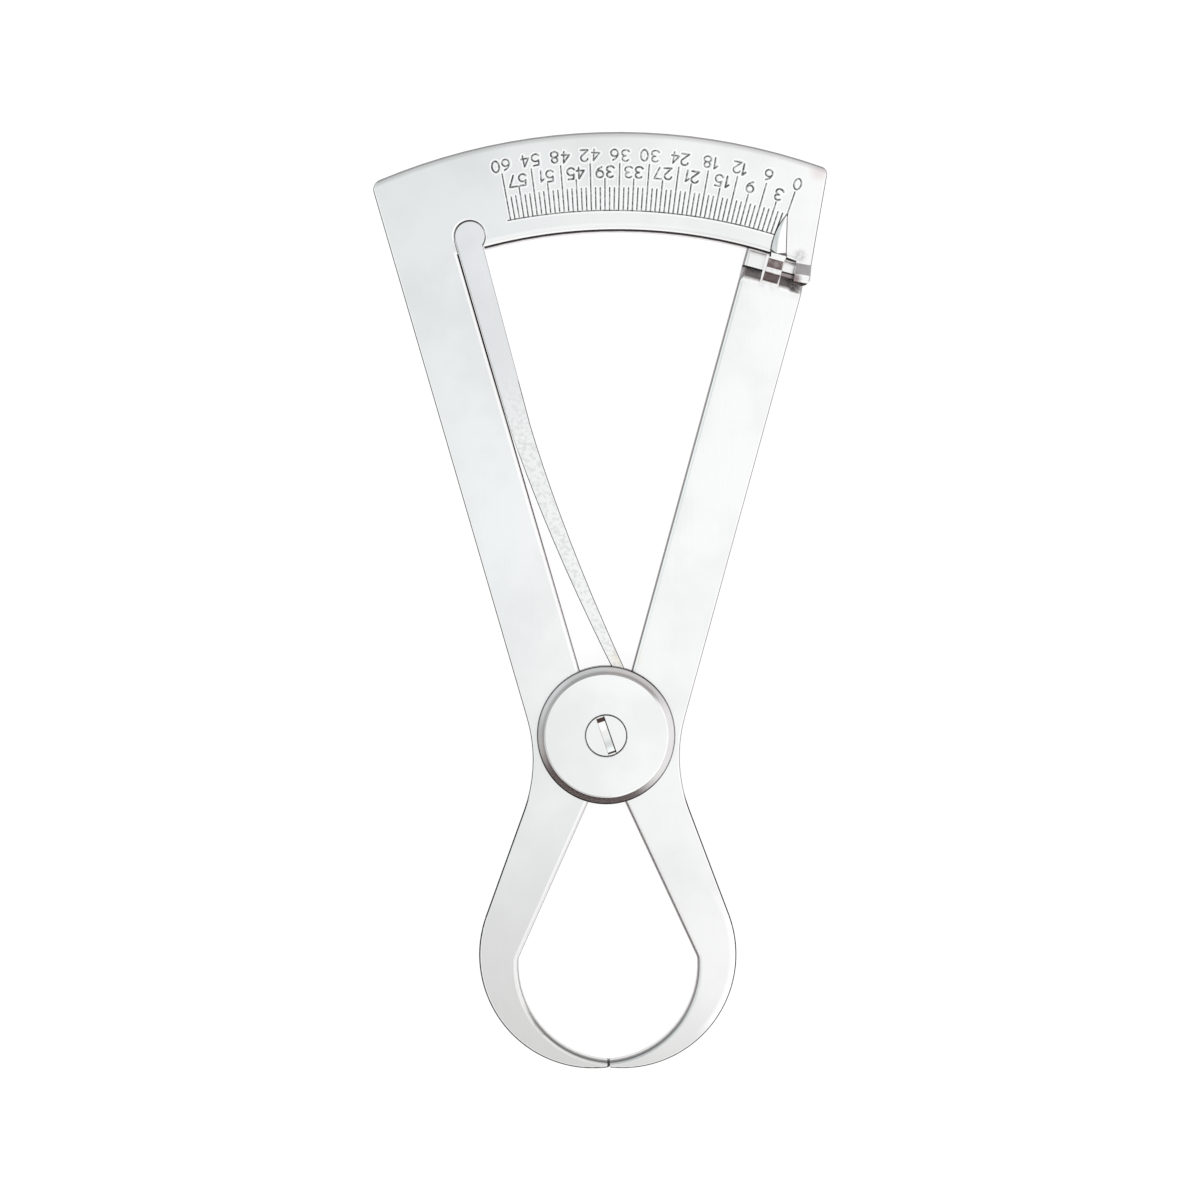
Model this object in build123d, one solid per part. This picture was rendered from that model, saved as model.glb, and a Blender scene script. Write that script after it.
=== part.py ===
from build123d import *
from math import cos, radians, sin, sqrt, tan
import os

# A pocket gauge for cut stones: two stamped legs on one pivot, with curved jaws below it
# and a 0 to 60 sector above it. One leg carries the sector, the other carries the pointer.
# Frame in millimetres: origin on the pivot axis at the back face, +Y up the line on which
# the closed jaws meet, +Z towards the reader. Leans are degrees to the right of +Y.

# Layers, from the back face forward
PLATE = 2.0
BACK_DISC_THICKNESS = 2.0
CAP_DISC_THICKNESS = 2.0
LAYER_GAP = 0.05

# Straight arms, the same on both legs
ARM_LEAN = 15.8
ARM_INNER_OFFSET = 1.25
ARM_WIDTH = 10.95
WAIST_RADIUS = 25.0

# Curved jaws, the same on both legs: an outer and an inner arc that draw together at the tip
JAW_OUTER_LEAN = -20.27
JAW_OUTER_RADIUS = 19.42
JAW_CENTRE_OUT = 2.52
JAW_CENTRE_DROP = 37.45
JAW_WALL = 3.06
JAW_INNER_SHIFT_IN = 3.58
JAW_INNER_SHIFT_DOWN = 1.85
JAW_INNER_LEAN = -24.55
JAW_INNER_FLAT = 1.03
JAW_CORNER_RADIUS = 2.2
JAW_TIP_GAP = 0.1
JAW_TIP_BEVEL = 0.3

# Sector plate, and the keeper lug at its lower right corner
SECTOR_CENTRE_OUT = 2.0
SECTOR_CENTRE_DROP = 2.2
SECTOR_OUTER_RADIUS = 104.9
SECTOR_INNER_RADIUS = 88.03
SECTOR_END_LEAN = 10.36
SECTOR_END_OFFSET = 20.68
SECTOR_LEFT_ROUND = 1.8
SECTOR_RIGHT_ROUND = 1.3
LUG_WIDTH = 2.65
LUG_LENGTH = 3.45
LUG_WALL = 1.4
LUG_LIFT = 1.7
LUG_RISE_LENGTH = 2.3
LUG_END_ROUND = 1.1
LUG_CORNER_RADIUS = 1.1

# The pointer leg's three fingers: the outer two run behind the sector, the pointer in front
FINGER_DROP = 5.26
FINGER_LAP = 4.6
SIDE_FINGER_THICKNESS = 1.6
SIDE_FINGER_STEP = 2.5
FINGER_BEND = 2.0
SECTOR_CLEARANCE = 0.15
LEFT_FINGER_WIDTH = 3.6
SLIT_WIDTH = 0.32
HUMP_FOOT = 0.55
HUMP_RISE = 2.05
HUMP_RISE_LENGTH = 1.0
HUMP_CREST_LENGTH = 0.85
HUMP_FALL_LENGTH = 1.85
HUMP_WALL = 1.3
POINTER_THICKNESS = 0.9
POINTER_ROOT_WIDTH = 2.6
POINTER_BASE_WIDTH = 2.9
POINTER_BASE_RISE = 5.2
POINTER_BELLY = 0.6
POINTER_TIP_WIDTH = 0.16
POINTER_REACH = 5.77
POINTER_EDGE = 0.15
LEFT_FACET_SLOPE = 29.0
RIGHT_FACET_SLOPE = 20.0
SHOULDER_SLOPE = 45.0

# Where the scale's zero mark lies, which the pointer meets when the jaws are closed
ZERO_MARK_LEAN = 19.62

# Hub, a half-lap joint between two discs
HUB_RADIUS = 9.4
HUB_CLEARANCE = 0.2
LAP_GAP = 0.04
DISC_RADIUS = 11.75
CAP_BEVEL_WIDTH = 1.3
CAP_BEVEL_HEIGHT = 1.0
CAP_RIM_ROUND = 0.35
BACK_RIM_BEVEL = 0.4

# Slotted shoulder screw
SHOULDER_RADIUS = 2.5
BORE_CLEARANCE = 0.05
THREAD_RADIUS = 2.0
SCREW_HEAD_RADIUS = 3.55
SCREW_HEAD_THICKNESS = 1.2
SCREW_HEAD_CLEARANCE = 0.12
SLOT_WIDTH = 1.35
SLOT_DEPTH = 0.9
SLOT_CUTTER_RADIUS = 6.5
SLOT_LEAN = -18.6

# Leaf spring, and the keyhole in the sector that holds its head
SPRING_THICKNESS = 1.4
SPRING_HEAD_RADIUS = 2.6
SPRING_HEAD_RISE = 2.63
SPRING_ROOT_WIDTH = 4.3
SPRING_LEAVE_WIDTH = 3.5
SPRING_TIP_WIDTH = 1.8
SPRING_LEAVE_HEIGHT = 54.0
SPRING_BOW = 1.7
SPRING_BEARING = 0.8
SPRING_TAIL = 0.7
SPRING_GAP = 0.1
SPRING_STATIONS = 7
KEYHOLE_CLEARANCE = 0.12

# Rounded edges
INNER_ROUND = 0.8
OUTER_ROUND = 0.4
BACK_BEVEL = 0.2
BEND_ROUND = 0.45

# Layers and radii that follow from the sizes above
PLATE_BACK = BACK_DISC_THICKNESS + LAYER_GAP
PLATE_MIDDLE = PLATE_BACK + PLATE / 2
PLATE_FRONT = PLATE_BACK + PLATE
CAP_BACK = PLATE_FRONT + LAYER_GAP
CAP_FRONT = CAP_BACK + CAP_DISC_THICKNESS
RECESS_RADIUS = HUB_RADIUS + HUB_CLEARANCE
ARM_OUTER_OFFSET = ARM_INNER_OFFSET + ARM_WIDTH
KEYHOLE_RADIUS = SPRING_HEAD_RADIUS + KEYHOLE_CLEARANCE
BEYOND = 4 * ARM_WIDTH


def polar(radius, lean):
    """Point at a radius from the pivot, in a direction that leans right of +Y."""
    return Vector(radius * sin(radians(lean)), radius * cos(radians(lean)))


def beside(lean, height, offset):
    """Point at a height up a leaning line through the pivot, and offset to its right."""
    return polar(height, lean) + polar(offset, lean + 90)


def crossing(first, second):
    """Where two lines cross, each given as its lean and its offset right of the pivot."""
    a = radians(first[0])
    b = radians(second[0])
    x = (second[1] * sin(a) - first[1] * sin(b)) / sin(a - b)
    y = (second[1] * cos(a) - first[1] * cos(b)) / sin(a - b)
    return Vector(x, y)


def line_on_circle(line, centre, radius, side):
    """Where a line meets a circle: its upper crossing for +1, its lower one for -1."""
    lean, offset = line
    up = polar(1, lean)
    across = polar(1, lean + 90)
    reach = sqrt(radius**2 - (offset - centre.dot(across)) ** 2)
    return across * offset + up * (centre.dot(up) + side * reach)


def arc_about(centre, start, end):
    """The shorter arc about a centre, from start to end."""
    bulge = ((start - centre) + (end - centre)).normalized() * (start - centre).length
    return ThreePointArc(start, centre + bulge, end)


# Places that follow from the sizes above; heights are measured up an arm's own line
JAW_OUTER_CENTRE = Vector(JAW_CENTRE_OUT, -JAW_CENTRE_DROP)
JAW_INNER_CENTRE = JAW_OUTER_CENTRE - Vector(JAW_INNER_SHIFT_IN, JAW_INNER_SHIFT_DOWN)
JAW_INNER_RADIUS = JAW_OUTER_RADIUS - JAW_WALL
SECTOR_CENTRE = Vector(SECTOR_CENTRE_OUT, -SECTOR_CENTRE_DROP)
SECTOR_EDGE_RIGHT = SECTOR_CENTRE.dot(polar(1, ARM_LEAN)) + SECTOR_INNER_RADIUS
SECTOR_EDGE_LEFT = SECTOR_CENTRE.dot(polar(1, -ARM_LEAN)) + SECTOR_INNER_RADIUS
FINGER_START = SECTOR_EDGE_RIGHT - FINGER_DROP
FINGER_ROOT = FINGER_START - FINGER_BEND / 2
FINGER_END = SECTOR_EDGE_RIGHT + FINGER_LAP
POINTER_LEFT = ARM_INNER_OFFSET + LEFT_FINGER_WIDTH + SLIT_WIDTH
RIGHT_FINGER_LEFT = POINTER_LEFT + POINTER_ROOT_WIDTH + SLIT_WIDTH
POINTER_RADIUS = SECTOR_INNER_RADIUS + POINTER_REACH
SPRING_HEAD_HEIGHT = SECTOR_EDGE_LEFT + SPRING_HEAD_RISE


def corner_at(outline, place):
    """The corner of an outline that lies nearest a place."""
    return outline.vertices().sort_by_distance(place)[0]


def edge_at(solid, place, height):
    """The edge of a solid that lies nearest a place at a height."""
    return solid.edges().sort_by_distance((place.X, place.Y, height))[0]


def slab(outline, low, high):
    """A flat outline made solid between two heights."""
    return Pos(0, 0, low) * extrude(outline, high - low)


def disc(radius, low, high):
    """A round slab about the pivot axis, between two heights."""
    return slab(Circle(radius), low, high)


def rounded_face(profile):
    """A flat face from corners given as (first, second, rounding), with 0 for a sharp one."""
    face = make_face(Polyline(*[(first, second) for first, second, rounding in profile], close=True))
    for first, second, rounding in profile:
        if rounding:
            face = fillet(corner_at(face, (first, second)), rounding)
    return face


def bent_strip(profile, left, width):
    """A strip of sheet bent up and down: a profile of (distance up, height, bend) made wide."""
    return Pos(left, 0, 0) * extrude(Plane.YZ * rounded_face(profile), width)


def slope_cut(start, end, height, slope):
    """Everything above a plane that rises at a slope from an edge towards its left side."""
    ahead = (end - start).normalized()
    inward = ahead.rotate(Axis.Z, 90)
    up = Vector(0, 0, cos(radians(slope))) - inward * sin(radians(slope))
    plane = Plane(origin=start + Vector(0, 0, height), x_dir=ahead, z_dir=up)
    return plane * Box(BEYOND, BEYOND, BEYOND, align=(Align.CENTER, Align.CENTER, Align.MIN))


def jaw_places():
    """The corners of the right leg's outline around its jaw."""
    outward = polar(1, JAW_OUTER_LEAN + 90)
    touch = JAW_OUTER_CENTRE + outward * JAW_OUTER_RADIUS
    jaw_outer = (JAW_OUTER_LEAN, touch.dot(outward))
    flat = JAW_INNER_CENTRE.dot(polar(1, JAW_INNER_LEAN + 90)) + JAW_INNER_RADIUS - JAW_INNER_FLAT
    jaw_inner = (JAW_INNER_LEAN, flat)
    tip = (0, JAW_TIP_GAP / 2)
    return {
        "crotch": crossing((ARM_LEAN, ARM_INNER_OFFSET), jaw_inner),
        "waist": crossing((ARM_LEAN, ARM_OUTER_OFFSET), jaw_outer),
        "touch": touch,
        "tip outer": line_on_circle(tip, JAW_OUTER_CENTRE, JAW_OUTER_RADIUS, -1),
        "tip inner": line_on_circle(tip, JAW_INNER_CENTRE, JAW_INNER_RADIUS, -1),
        "corner": line_on_circle(jaw_inner, JAW_INNER_CENTRE, JAW_INNER_RADIUS, -1),
    }


def arm_and_jaw(height):
    """Outline of the right leg: a straight arm of a given height, the waist and the jaw."""
    at = jaw_places()
    top_inner = beside(ARM_LEAN, height, ARM_INNER_OFFSET)
    top_outer = beside(ARM_LEAN, height, ARM_OUTER_OFFSET)
    edges = [
        Line(at["crotch"], top_inner),
        Line(top_inner, top_outer),
        Line(top_outer, at["waist"]),
        Line(at["waist"], at["touch"]),
        arc_about(JAW_OUTER_CENTRE, at["touch"], at["tip outer"]),
        Line(at["tip outer"], at["tip inner"]),
        arc_about(JAW_INNER_CENTRE, at["tip inner"], at["corner"]),
        Line(at["corner"], at["crotch"]),
    ]
    outline = fillet(corner_at(make_face(edges), at["waist"]), WAIST_RADIUS)
    return fillet(corner_at(outline, at["corner"]), JAW_CORNER_RADIUS)


def sector_outline():
    """Outline of the scale plate, between two arcs of one centre."""
    left = (-ARM_LEAN, -ARM_OUTER_OFFSET)
    right = (SECTOR_END_LEAN, SECTOR_END_OFFSET)
    top_left = line_on_circle(left, SECTOR_CENTRE, SECTOR_OUTER_RADIUS, 1)
    top_right = line_on_circle(right, SECTOR_CENTRE, SECTOR_OUTER_RADIUS, 1)
    low_right = line_on_circle(right, SECTOR_CENTRE, SECTOR_INNER_RADIUS, 1)
    low_left = line_on_circle(left, SECTOR_CENTRE, SECTOR_INNER_RADIUS, 1)
    edges = [
        Line(low_left, top_left),
        arc_about(SECTOR_CENTRE, top_left, top_right),
        Line(top_right, low_right),
        arc_about(SECTOR_CENTRE, low_right, low_left),
    ]
    outline = fillet(corner_at(make_face(edges), top_left), SECTOR_LEFT_ROUND)
    return fillet(corner_at(outline, top_right), SECTOR_RIGHT_ROUND)


def edge_places(side):
    """Places on the inner and outer edges of the left (-1) or right (+1) arm and jaw."""
    at = jaw_places()
    arm = beside(ARM_LEAN, FINGER_START / 2, ARM_INNER_OFFSET)
    jaw = (at["crotch"] + at["corner"]) / 2
    outer = beside(ARM_LEAN, FINGER_START / 2, ARM_OUTER_OFFSET)
    return [Vector(side * place.X, place.Y) for place in (arm, jaw, outer)]


def round_plate(plate, inner, outer):
    """Round a stamped plate's front edges, broad along its inner side, and bevel its back."""
    plate = fillet([edge_at(plate, place, PLATE_FRONT) for place in inner], INNER_ROUND)
    plate = fillet(edge_at(plate, outer, PLATE_FRONT), OUTER_ROUND)
    return chamfer(edge_at(plate, outer, PLATE_BACK), BACK_BEVEL)


def tip_bevel(side):
    """The wedge taken off the outer corner of a jaw's tip."""
    tip = jaw_places()["tip outer"]
    reach = Vector(side * JAW_TIP_BEVEL, 0)
    corner = Vector(side * tip.X, tip.Y)
    over = Vector(0, -JAW_TIP_BEVEL)
    wedge = Polygon(corner + over, corner + reach + over, corner + reach, corner - over, align=None)
    return slab(wedge, PLATE_BACK - PLATE, PLATE_FRONT + PLATE)


def hub(plate, low, high):
    """Give a leg its half of the lap joint, between two heights, and clear the other half."""
    other_low = PLATE_BACK - PLATE if low > PLATE_BACK else high + LAP_GAP
    other_high = low - LAP_GAP if low > PLATE_BACK else PLATE_FRONT + PLATE
    plate = plate - disc(RECESS_RADIUS, other_low, other_high) + disc(HUB_RADIUS, low, high)
    return plate - disc(SHOULDER_RADIUS + BORE_CLEARANCE, PLATE_BACK - PLATE, PLATE_FRONT + PLATE)


def keyhole():
    """The hole for the spring's head, open downwards along the arm's inner edge."""
    edge = -ARM_INNER_OFFSET
    centre = beside(-ARM_LEAN, SPRING_HEAD_HEIGHT, edge + KEYHOLE_RADIUS)
    neck = SPRING_ROOT_WIDTH + 2 * KEYHOLE_CLEARANCE
    low = SECTOR_EDGE_LEFT - KEYHOLE_RADIUS
    slot = Polygon(
        beside(-ARM_LEAN, low, edge),
        beside(-ARM_LEAN, low, edge + neck),
        beside(-ARM_LEAN, SPRING_HEAD_HEIGHT, edge + neck),
        beside(-ARM_LEAN, SPRING_HEAD_HEIGHT, edge),
        align=None,
    )
    hole = Pos(centre) * Circle(KEYHOLE_RADIUS) + slot
    return slab(hole, PLATE_BACK - PLATE, PLATE_FRONT + PLATE)


def keeper_lug():
    """The tongue at the sector's end, bent forward over the pointer leg's right finger."""
    right = (SECTOR_END_LEAN, SECTOR_END_OFFSET)
    foot = line_on_circle(right, SECTOR_CENTRE, SECTOR_INNER_RADIUS, 1)
    sector_edge = foot.dot(polar(1, SECTOR_END_LEAN))
    start = sector_edge + LUG_WALL / 3
    end = sector_edge - LUG_LENGTH
    root = sector_edge + LUG_WALL
    front = PLATE_FRONT + LUG_LIFT
    back = front - LUG_WALL
    steep = LUG_LIFT / LUG_RISE_LENGTH
    drop = LUG_WALL * sqrt(1 + steep**2)
    profile = [
        (root, PLATE_FRONT, 0),
        (start, PLATE_FRONT, BEND_ROUND),
        (start - LUG_RISE_LENGTH, front, BEND_ROUND),
        (end, front, LUG_END_ROUND),
        (end, back, 0),
        (start - (back + drop - PLATE_FRONT) / steep, back, BEND_ROUND),
        (start + (PLATE_FRONT - PLATE_BACK - drop) / steep, PLATE_BACK, 0),
        (root + LUG_WALL, PLATE_BACK, 0),
        (root + LUG_WALL, PLATE_FRONT, 0),
    ]
    left = SECTOR_END_OFFSET - LUG_WIDTH
    tongue = bent_strip(profile, left, LUG_WIDTH)
    top = root + LUG_WALL
    plan = Pos(left + LUG_WIDTH / 2, (end + top) / 2) * Rectangle(LUG_WIDTH, top - end)
    plan = fillet(corner_at(plan, (SECTOR_END_OFFSET, end)), LUG_CORNER_RADIUS)
    plan = fillet(corner_at(plan, (left, end)), LUG_CORNER_RADIUS / 3)
    return Rot(0, 0, -SECTOR_END_LEAN) * (tongue & slab(plan, 0, BEYOND))


def scale_leg():
    """The fixed leg: left arm, left jaw and sector in one stamping, with the lug bent up."""
    arm, jaw, outer = edge_places(-1)
    sector_arc = SECTOR_CENTRE + polar(SECTOR_INNER_RADIUS, 0)
    outline = mirror(arm_and_jaw(SECTOR_EDGE_LEFT + KEYHOLE_RADIUS), Plane.YZ) + sector_outline()
    plate = round_plate(slab(outline, PLATE_BACK, PLATE_FRONT), [arm, jaw, sector_arc], outer)
    plate = hub(plate, PLATE_BACK, PLATE_MIDDLE - LAP_GAP / 2)
    return plate - keyhole() - tip_bevel(-1) + keeper_lug()


def side_finger(left, width, edge, rounding):
    """A finger that steps back and runs behind the sector, with one long edge rounded."""
    front = PLATE_BACK - SECTOR_CLEARANCE
    back = front - SIDE_FINGER_THICKNESS
    steep = (PLATE_FRONT - front) / SIDE_FINGER_STEP
    profile = [
        (FINGER_ROOT, PLATE_FRONT, 0),
        (FINGER_START, PLATE_FRONT, FINGER_BEND),
        (FINGER_START + SIDE_FINGER_STEP, front, BEND_ROUND),
        (FINGER_END, front, 0),
        (FINGER_END, back, 0),
        (FINGER_START + (PLATE_BACK - back) / steep, back, FINGER_BEND),
        (FINGER_START, PLATE_BACK, BEND_ROUND),
        (FINGER_ROOT, PLATE_BACK, 0),
    ]
    finger = bent_strip(profile, left, width)
    slope = Vector(edge, FINGER_START + SIDE_FINGER_STEP / 2)
    return fillet(edge_at(finger, slope, (PLATE_FRONT + front) / 2), rounding)


def pointer_strip(back, front, tip):
    """The pointer's sheet before it is cut to shape: a hump over the sector's edge."""
    crest = PLATE_FRONT + HUMP_RISE
    under = crest - HUMP_WALL
    foot = FINGER_START + HUMP_FOOT
    crest_start = foot + HUMP_RISE_LENGTH
    crest_end = crest_start + HUMP_CREST_LENGTH
    fall_end = crest_end + HUMP_FALL_LENGTH
    steep = HUMP_RISE / HUMP_RISE_LENGTH
    wall = HUMP_WALL * sqrt(1 + 1 / steep**2)
    profile = [
        (FINGER_ROOT, PLATE_FRONT, 0),
        (foot, PLATE_FRONT, BEND_ROUND),
        (crest_start, crest, BEND_ROUND),
        (crest_end, crest, BEND_ROUND),
        (fall_end, front, BEND_ROUND),
        (tip.Y, front, 0),
        (tip.Y, back, 0),
        (fall_end, back, 0),
        (foot + wall + (under - PLATE_FRONT) / steep, under, 0),
        (foot + wall - PLATE / steep, PLATE_BACK, BEND_ROUND),
        (FINGER_ROOT, PLATE_BACK, 0),
    ]
    width = POINTER_BASE_WIDTH + 2 * POINTER_BELLY
    return bent_strip(profile, POINTER_LEFT - POINTER_BELLY, width)


def pointer():
    """The middle finger: a hump over the sector's edge, then a roof-shaped blade on the scale."""
    back = PLATE_FRONT + SECTOR_CLEARANCE
    front = back + POINTER_THICKNESS
    root_right = POINTER_LEFT + POINTER_ROOT_WIDTH
    tip = polar(POINTER_RADIUS, ZERO_MARK_LEAN - ARM_LEAN)
    tip_left = tip - Vector(POINTER_TIP_WIDTH / 2, 0)
    tip_right = tip + Vector(POINTER_TIP_WIDTH / 2, 0)
    base_left = Vector(POINTER_LEFT, FINGER_START + POINTER_BASE_RISE)
    base_right = base_left + Vector(POINTER_BASE_WIDTH, 0)
    neck_right = Vector(root_right, base_right.Y - POINTER_BASE_WIDTH / 3)
    belly = ThreePointArc(base_left, (base_left + tip_left) / 2 - Vector(POINTER_BELLY, 0), tip_left)
    edges = [
        Line((POINTER_LEFT, FINGER_ROOT), base_left),
        belly,
        Line(tip_left, tip_right),
        Line(tip_right, base_right),
        Line(base_right, neck_right),
        Line(neck_right, (root_right, FINGER_ROOT)),
        Line((root_right, FINGER_ROOT), (POINTER_LEFT, FINGER_ROOT)),
    ]
    blade = pointer_strip(back, front, tip) & slab(make_face(edges), PLATE_BACK, BEYOND)
    shoulder = slope_cut(base_right, base_left, front, SHOULDER_SLOPE)
    right_facet = slope_cut(base_right, tip_right, back + POINTER_EDGE, RIGHT_FACET_SLOPE)
    bottom = (Align.CENTER, Align.CENTER, Align.MIN)
    inward = POINTER_THICKNESS / tan(radians(LEFT_FACET_SLOPE))
    cone = Cone(belly.radius, belly.radius - inward, POINTER_THICKNESS, align=bottom)
    around = Cylinder(BEYOND, POINTER_THICKNESS, align=bottom) - cone
    left_facet = Pos(belly.arc_center.X, belly.arc_center.Y, back + POINTER_EDGE) * around
    root = Polygon(
        (POINTER_LEFT - SLIT_WIDTH, FINGER_ROOT),
        (RIGHT_FINGER_LEFT, FINGER_ROOT),
        (RIGHT_FINGER_LEFT, FINGER_START),
        (POINTER_LEFT - SLIT_WIDTH, FINGER_START),
        align=None,
    )
    blade += slab(root, PLATE_BACK, PLATE_FRONT)
    return blade - (right_facet & shoulder) - (left_facet & shoulder)


def pointer_leg():
    """The moving leg: right arm and right jaw in one stamping, with its three fingers."""
    arm, jaw, outer = edge_places(1)
    plate = slab(arm_and_jaw(FINGER_ROOT), PLATE_BACK, PLATE_FRONT)
    plate = round_plate(plate, [arm, jaw], outer)
    plate = hub(plate, PLATE_MIDDLE + LAP_GAP / 2, PLATE_FRONT)
    right_width = ARM_OUTER_OFFSET - RIGHT_FINGER_LEFT
    fingers = side_finger(ARM_INNER_OFFSET, LEFT_FINGER_WIDTH, ARM_INNER_OFFSET, INNER_ROUND)
    fingers += side_finger(RIGHT_FINGER_LEFT, right_width, ARM_OUTER_OFFSET, OUTER_ROUND)
    fingers += pointer()
    return plate - tip_bevel(1) + Rot(0, 0, -ARM_LEAN) * fingers


def spring_strip(touch):
    """The spring's strip: straight down the arm, then bowed and tapered past a touch point."""
    touch_height = touch.dot(polar(1, -ARM_LEAN))
    touch_offset = touch.dot(polar(1, 90 - ARM_LEAN))
    low = KEYHOLE_CLEARANCE - ARM_INNER_OFFSET
    drop = SPRING_LEAVE_HEIGHT - touch_height
    left = []
    right = []
    for step in range(SPRING_STATIONS):
        along = (drop + SPRING_TAIL) / drop * step / (SPRING_STATIONS - 1)
        width = SPRING_LEAVE_WIDTH + (SPRING_TIP_WIDTH - SPRING_LEAVE_WIDTH) * along
        start = low + SPRING_LEAVE_WIDTH
        bearing = start + (touch_offset - start) * along**SPRING_BOW
        height = SPRING_LEAVE_HEIGHT - drop * along
        left.append(beside(-ARM_LEAN, height, bearing - width))
        right.append(beside(-ARM_LEAN, height, bearing))
    top_left = beside(-ARM_LEAN, SPRING_HEAD_HEIGHT, low)
    top_right = beside(-ARM_LEAN, SPRING_HEAD_HEIGHT, low + SPRING_ROOT_WIDTH)
    edges = [
        Line(top_left, left[0]),
        Spline(*left),
        Line(left[-1], right[-1]),
        Spline(*right),
        Line(right[0], top_right),
        Line(top_right, top_left),
    ]
    return make_face(edges)


def leaf_spring():
    """The flat spring: its head in the keyhole, its tail on the pointer arm's inner edge."""
    bearing = ARM_INNER_OFFSET - SPRING_GAP
    touch = line_on_circle((ARM_LEAN, bearing), Vector(), RECESS_RADIUS + SPRING_BEARING, 1)
    head = beside(-ARM_LEAN, SPRING_HEAD_HEIGHT, KEYHOLE_RADIUS - ARM_INNER_OFFSET)
    arm_side = Polygon(
        beside(ARM_LEAN, 0, bearing),
        beside(ARM_LEAN, 0, BEYOND),
        beside(ARM_LEAN, SPRING_LEAVE_HEIGHT, BEYOND),
        beside(ARM_LEAN, SPRING_LEAVE_HEIGHT, bearing),
        align=None,
    )
    outline = spring_strip(touch) + Pos(head) * Circle(SPRING_HEAD_RADIUS)
    outline = outline - arm_side - Circle(RECESS_RADIUS + SPRING_GAP)
    back = PLATE_MIDDLE - SPRING_THICKNESS / 2
    return slab(outline, back, back + SPRING_THICKNESS)


def cap_disc():
    """The front disc, with a bevelled rim and a seat for the screw's head."""
    profile = [
        (0, CAP_BACK, 0),
        (DISC_RADIUS, CAP_BACK, 0),
        (DISC_RADIUS, CAP_FRONT - CAP_BEVEL_HEIGHT, CAP_RIM_ROUND),
        (DISC_RADIUS - CAP_BEVEL_WIDTH, CAP_FRONT, CAP_RIM_ROUND),
        (0, CAP_FRONT, 0),
    ]
    plain = revolve(Plane.XZ * rounded_face(profile), Axis.Z)
    seat = CAP_FRONT - SCREW_HEAD_THICKNESS
    plain -= disc(SCREW_HEAD_RADIUS + SCREW_HEAD_CLEARANCE, seat, CAP_FRONT + CAP_DISC_THICKNESS)
    return plain - disc(SHOULDER_RADIUS + BORE_CLEARANCE, CAP_BACK - PLATE, CAP_FRONT)


def back_disc():
    """The back disc, which is the screw's nut and the face that the gauge lies on."""
    plain = disc(DISC_RADIUS, 0, BACK_DISC_THICKNESS)
    plain = chamfer(plain.edges().group_by(Axis.Z)[0], BACK_RIM_BEVEL)
    return plain - disc(THREAD_RADIUS + BORE_CLEARANCE, -PLATE, PLATE_FRONT)


def pivot_screw():
    """The slotted shoulder screw: a flush head, the shoulder the legs turn on and the thread."""
    seat = CAP_FRONT - SCREW_HEAD_THICKNESS
    head = disc(SCREW_HEAD_RADIUS, seat + LAYER_GAP, CAP_FRONT)
    shoulder = disc(SHOULDER_RADIUS, PLATE_BACK, CAP_FRONT - SLOT_DEPTH)
    thread = disc(THREAD_RADIUS, 0, PLATE_FRONT)
    cutter = Rot(0, 0, -SLOT_LEAN) * Rot(0, 90, 0) * Cylinder(SLOT_CUTTER_RADIUS, SLOT_WIDTH)
    return head + shoulder + thread - Pos(0, 0, CAP_FRONT - SLOT_DEPTH + SLOT_CUTTER_RADIUS) * cutter


PIECES = {
    "scale_leg": scale_leg,
    "pointer_leg": pointer_leg,
    "leaf_spring": leaf_spring,
    "cap_disc": cap_disc,
    "back_disc": back_disc,
    "pivot_screw": pivot_screw,
}

os.makedirs("parts", exist_ok=True)
for name, make in PIECES.items():
    export_step(make(), f"parts/{name}.step")
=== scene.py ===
"""Looks of the diamond gauge: nickel finish, engraved scale, bending spring, light and camera.

Lengths are written in millimetres and turned into metres where they meet the scene.
Leans are degrees to the right of +Y, seen from the front, as on the solids.
The soft edge of a real mark, and of painted shade and highlight, is the value where it starts
and the one where it is full, and two more numbers are its strengths there. A turn is the z of
the surface's direction: 1 on the front, 0 on a wall.
"""

from functools import reduce
from math import atan, cos, pi, radians, sin

import bmesh
import bpy
import numpy as np
from mathutils import Matrix, Vector
from mathutils.geometry import delaunay_2d_cdt


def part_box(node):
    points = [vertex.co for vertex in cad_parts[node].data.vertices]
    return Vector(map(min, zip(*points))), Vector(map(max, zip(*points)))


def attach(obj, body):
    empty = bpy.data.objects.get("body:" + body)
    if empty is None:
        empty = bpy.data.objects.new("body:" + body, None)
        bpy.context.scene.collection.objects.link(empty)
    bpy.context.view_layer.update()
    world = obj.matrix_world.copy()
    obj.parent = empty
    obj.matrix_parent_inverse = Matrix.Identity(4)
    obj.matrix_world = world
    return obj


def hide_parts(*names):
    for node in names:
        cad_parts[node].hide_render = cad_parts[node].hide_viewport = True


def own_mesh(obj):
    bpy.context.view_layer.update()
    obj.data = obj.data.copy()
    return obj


MM = 0.001

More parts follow.
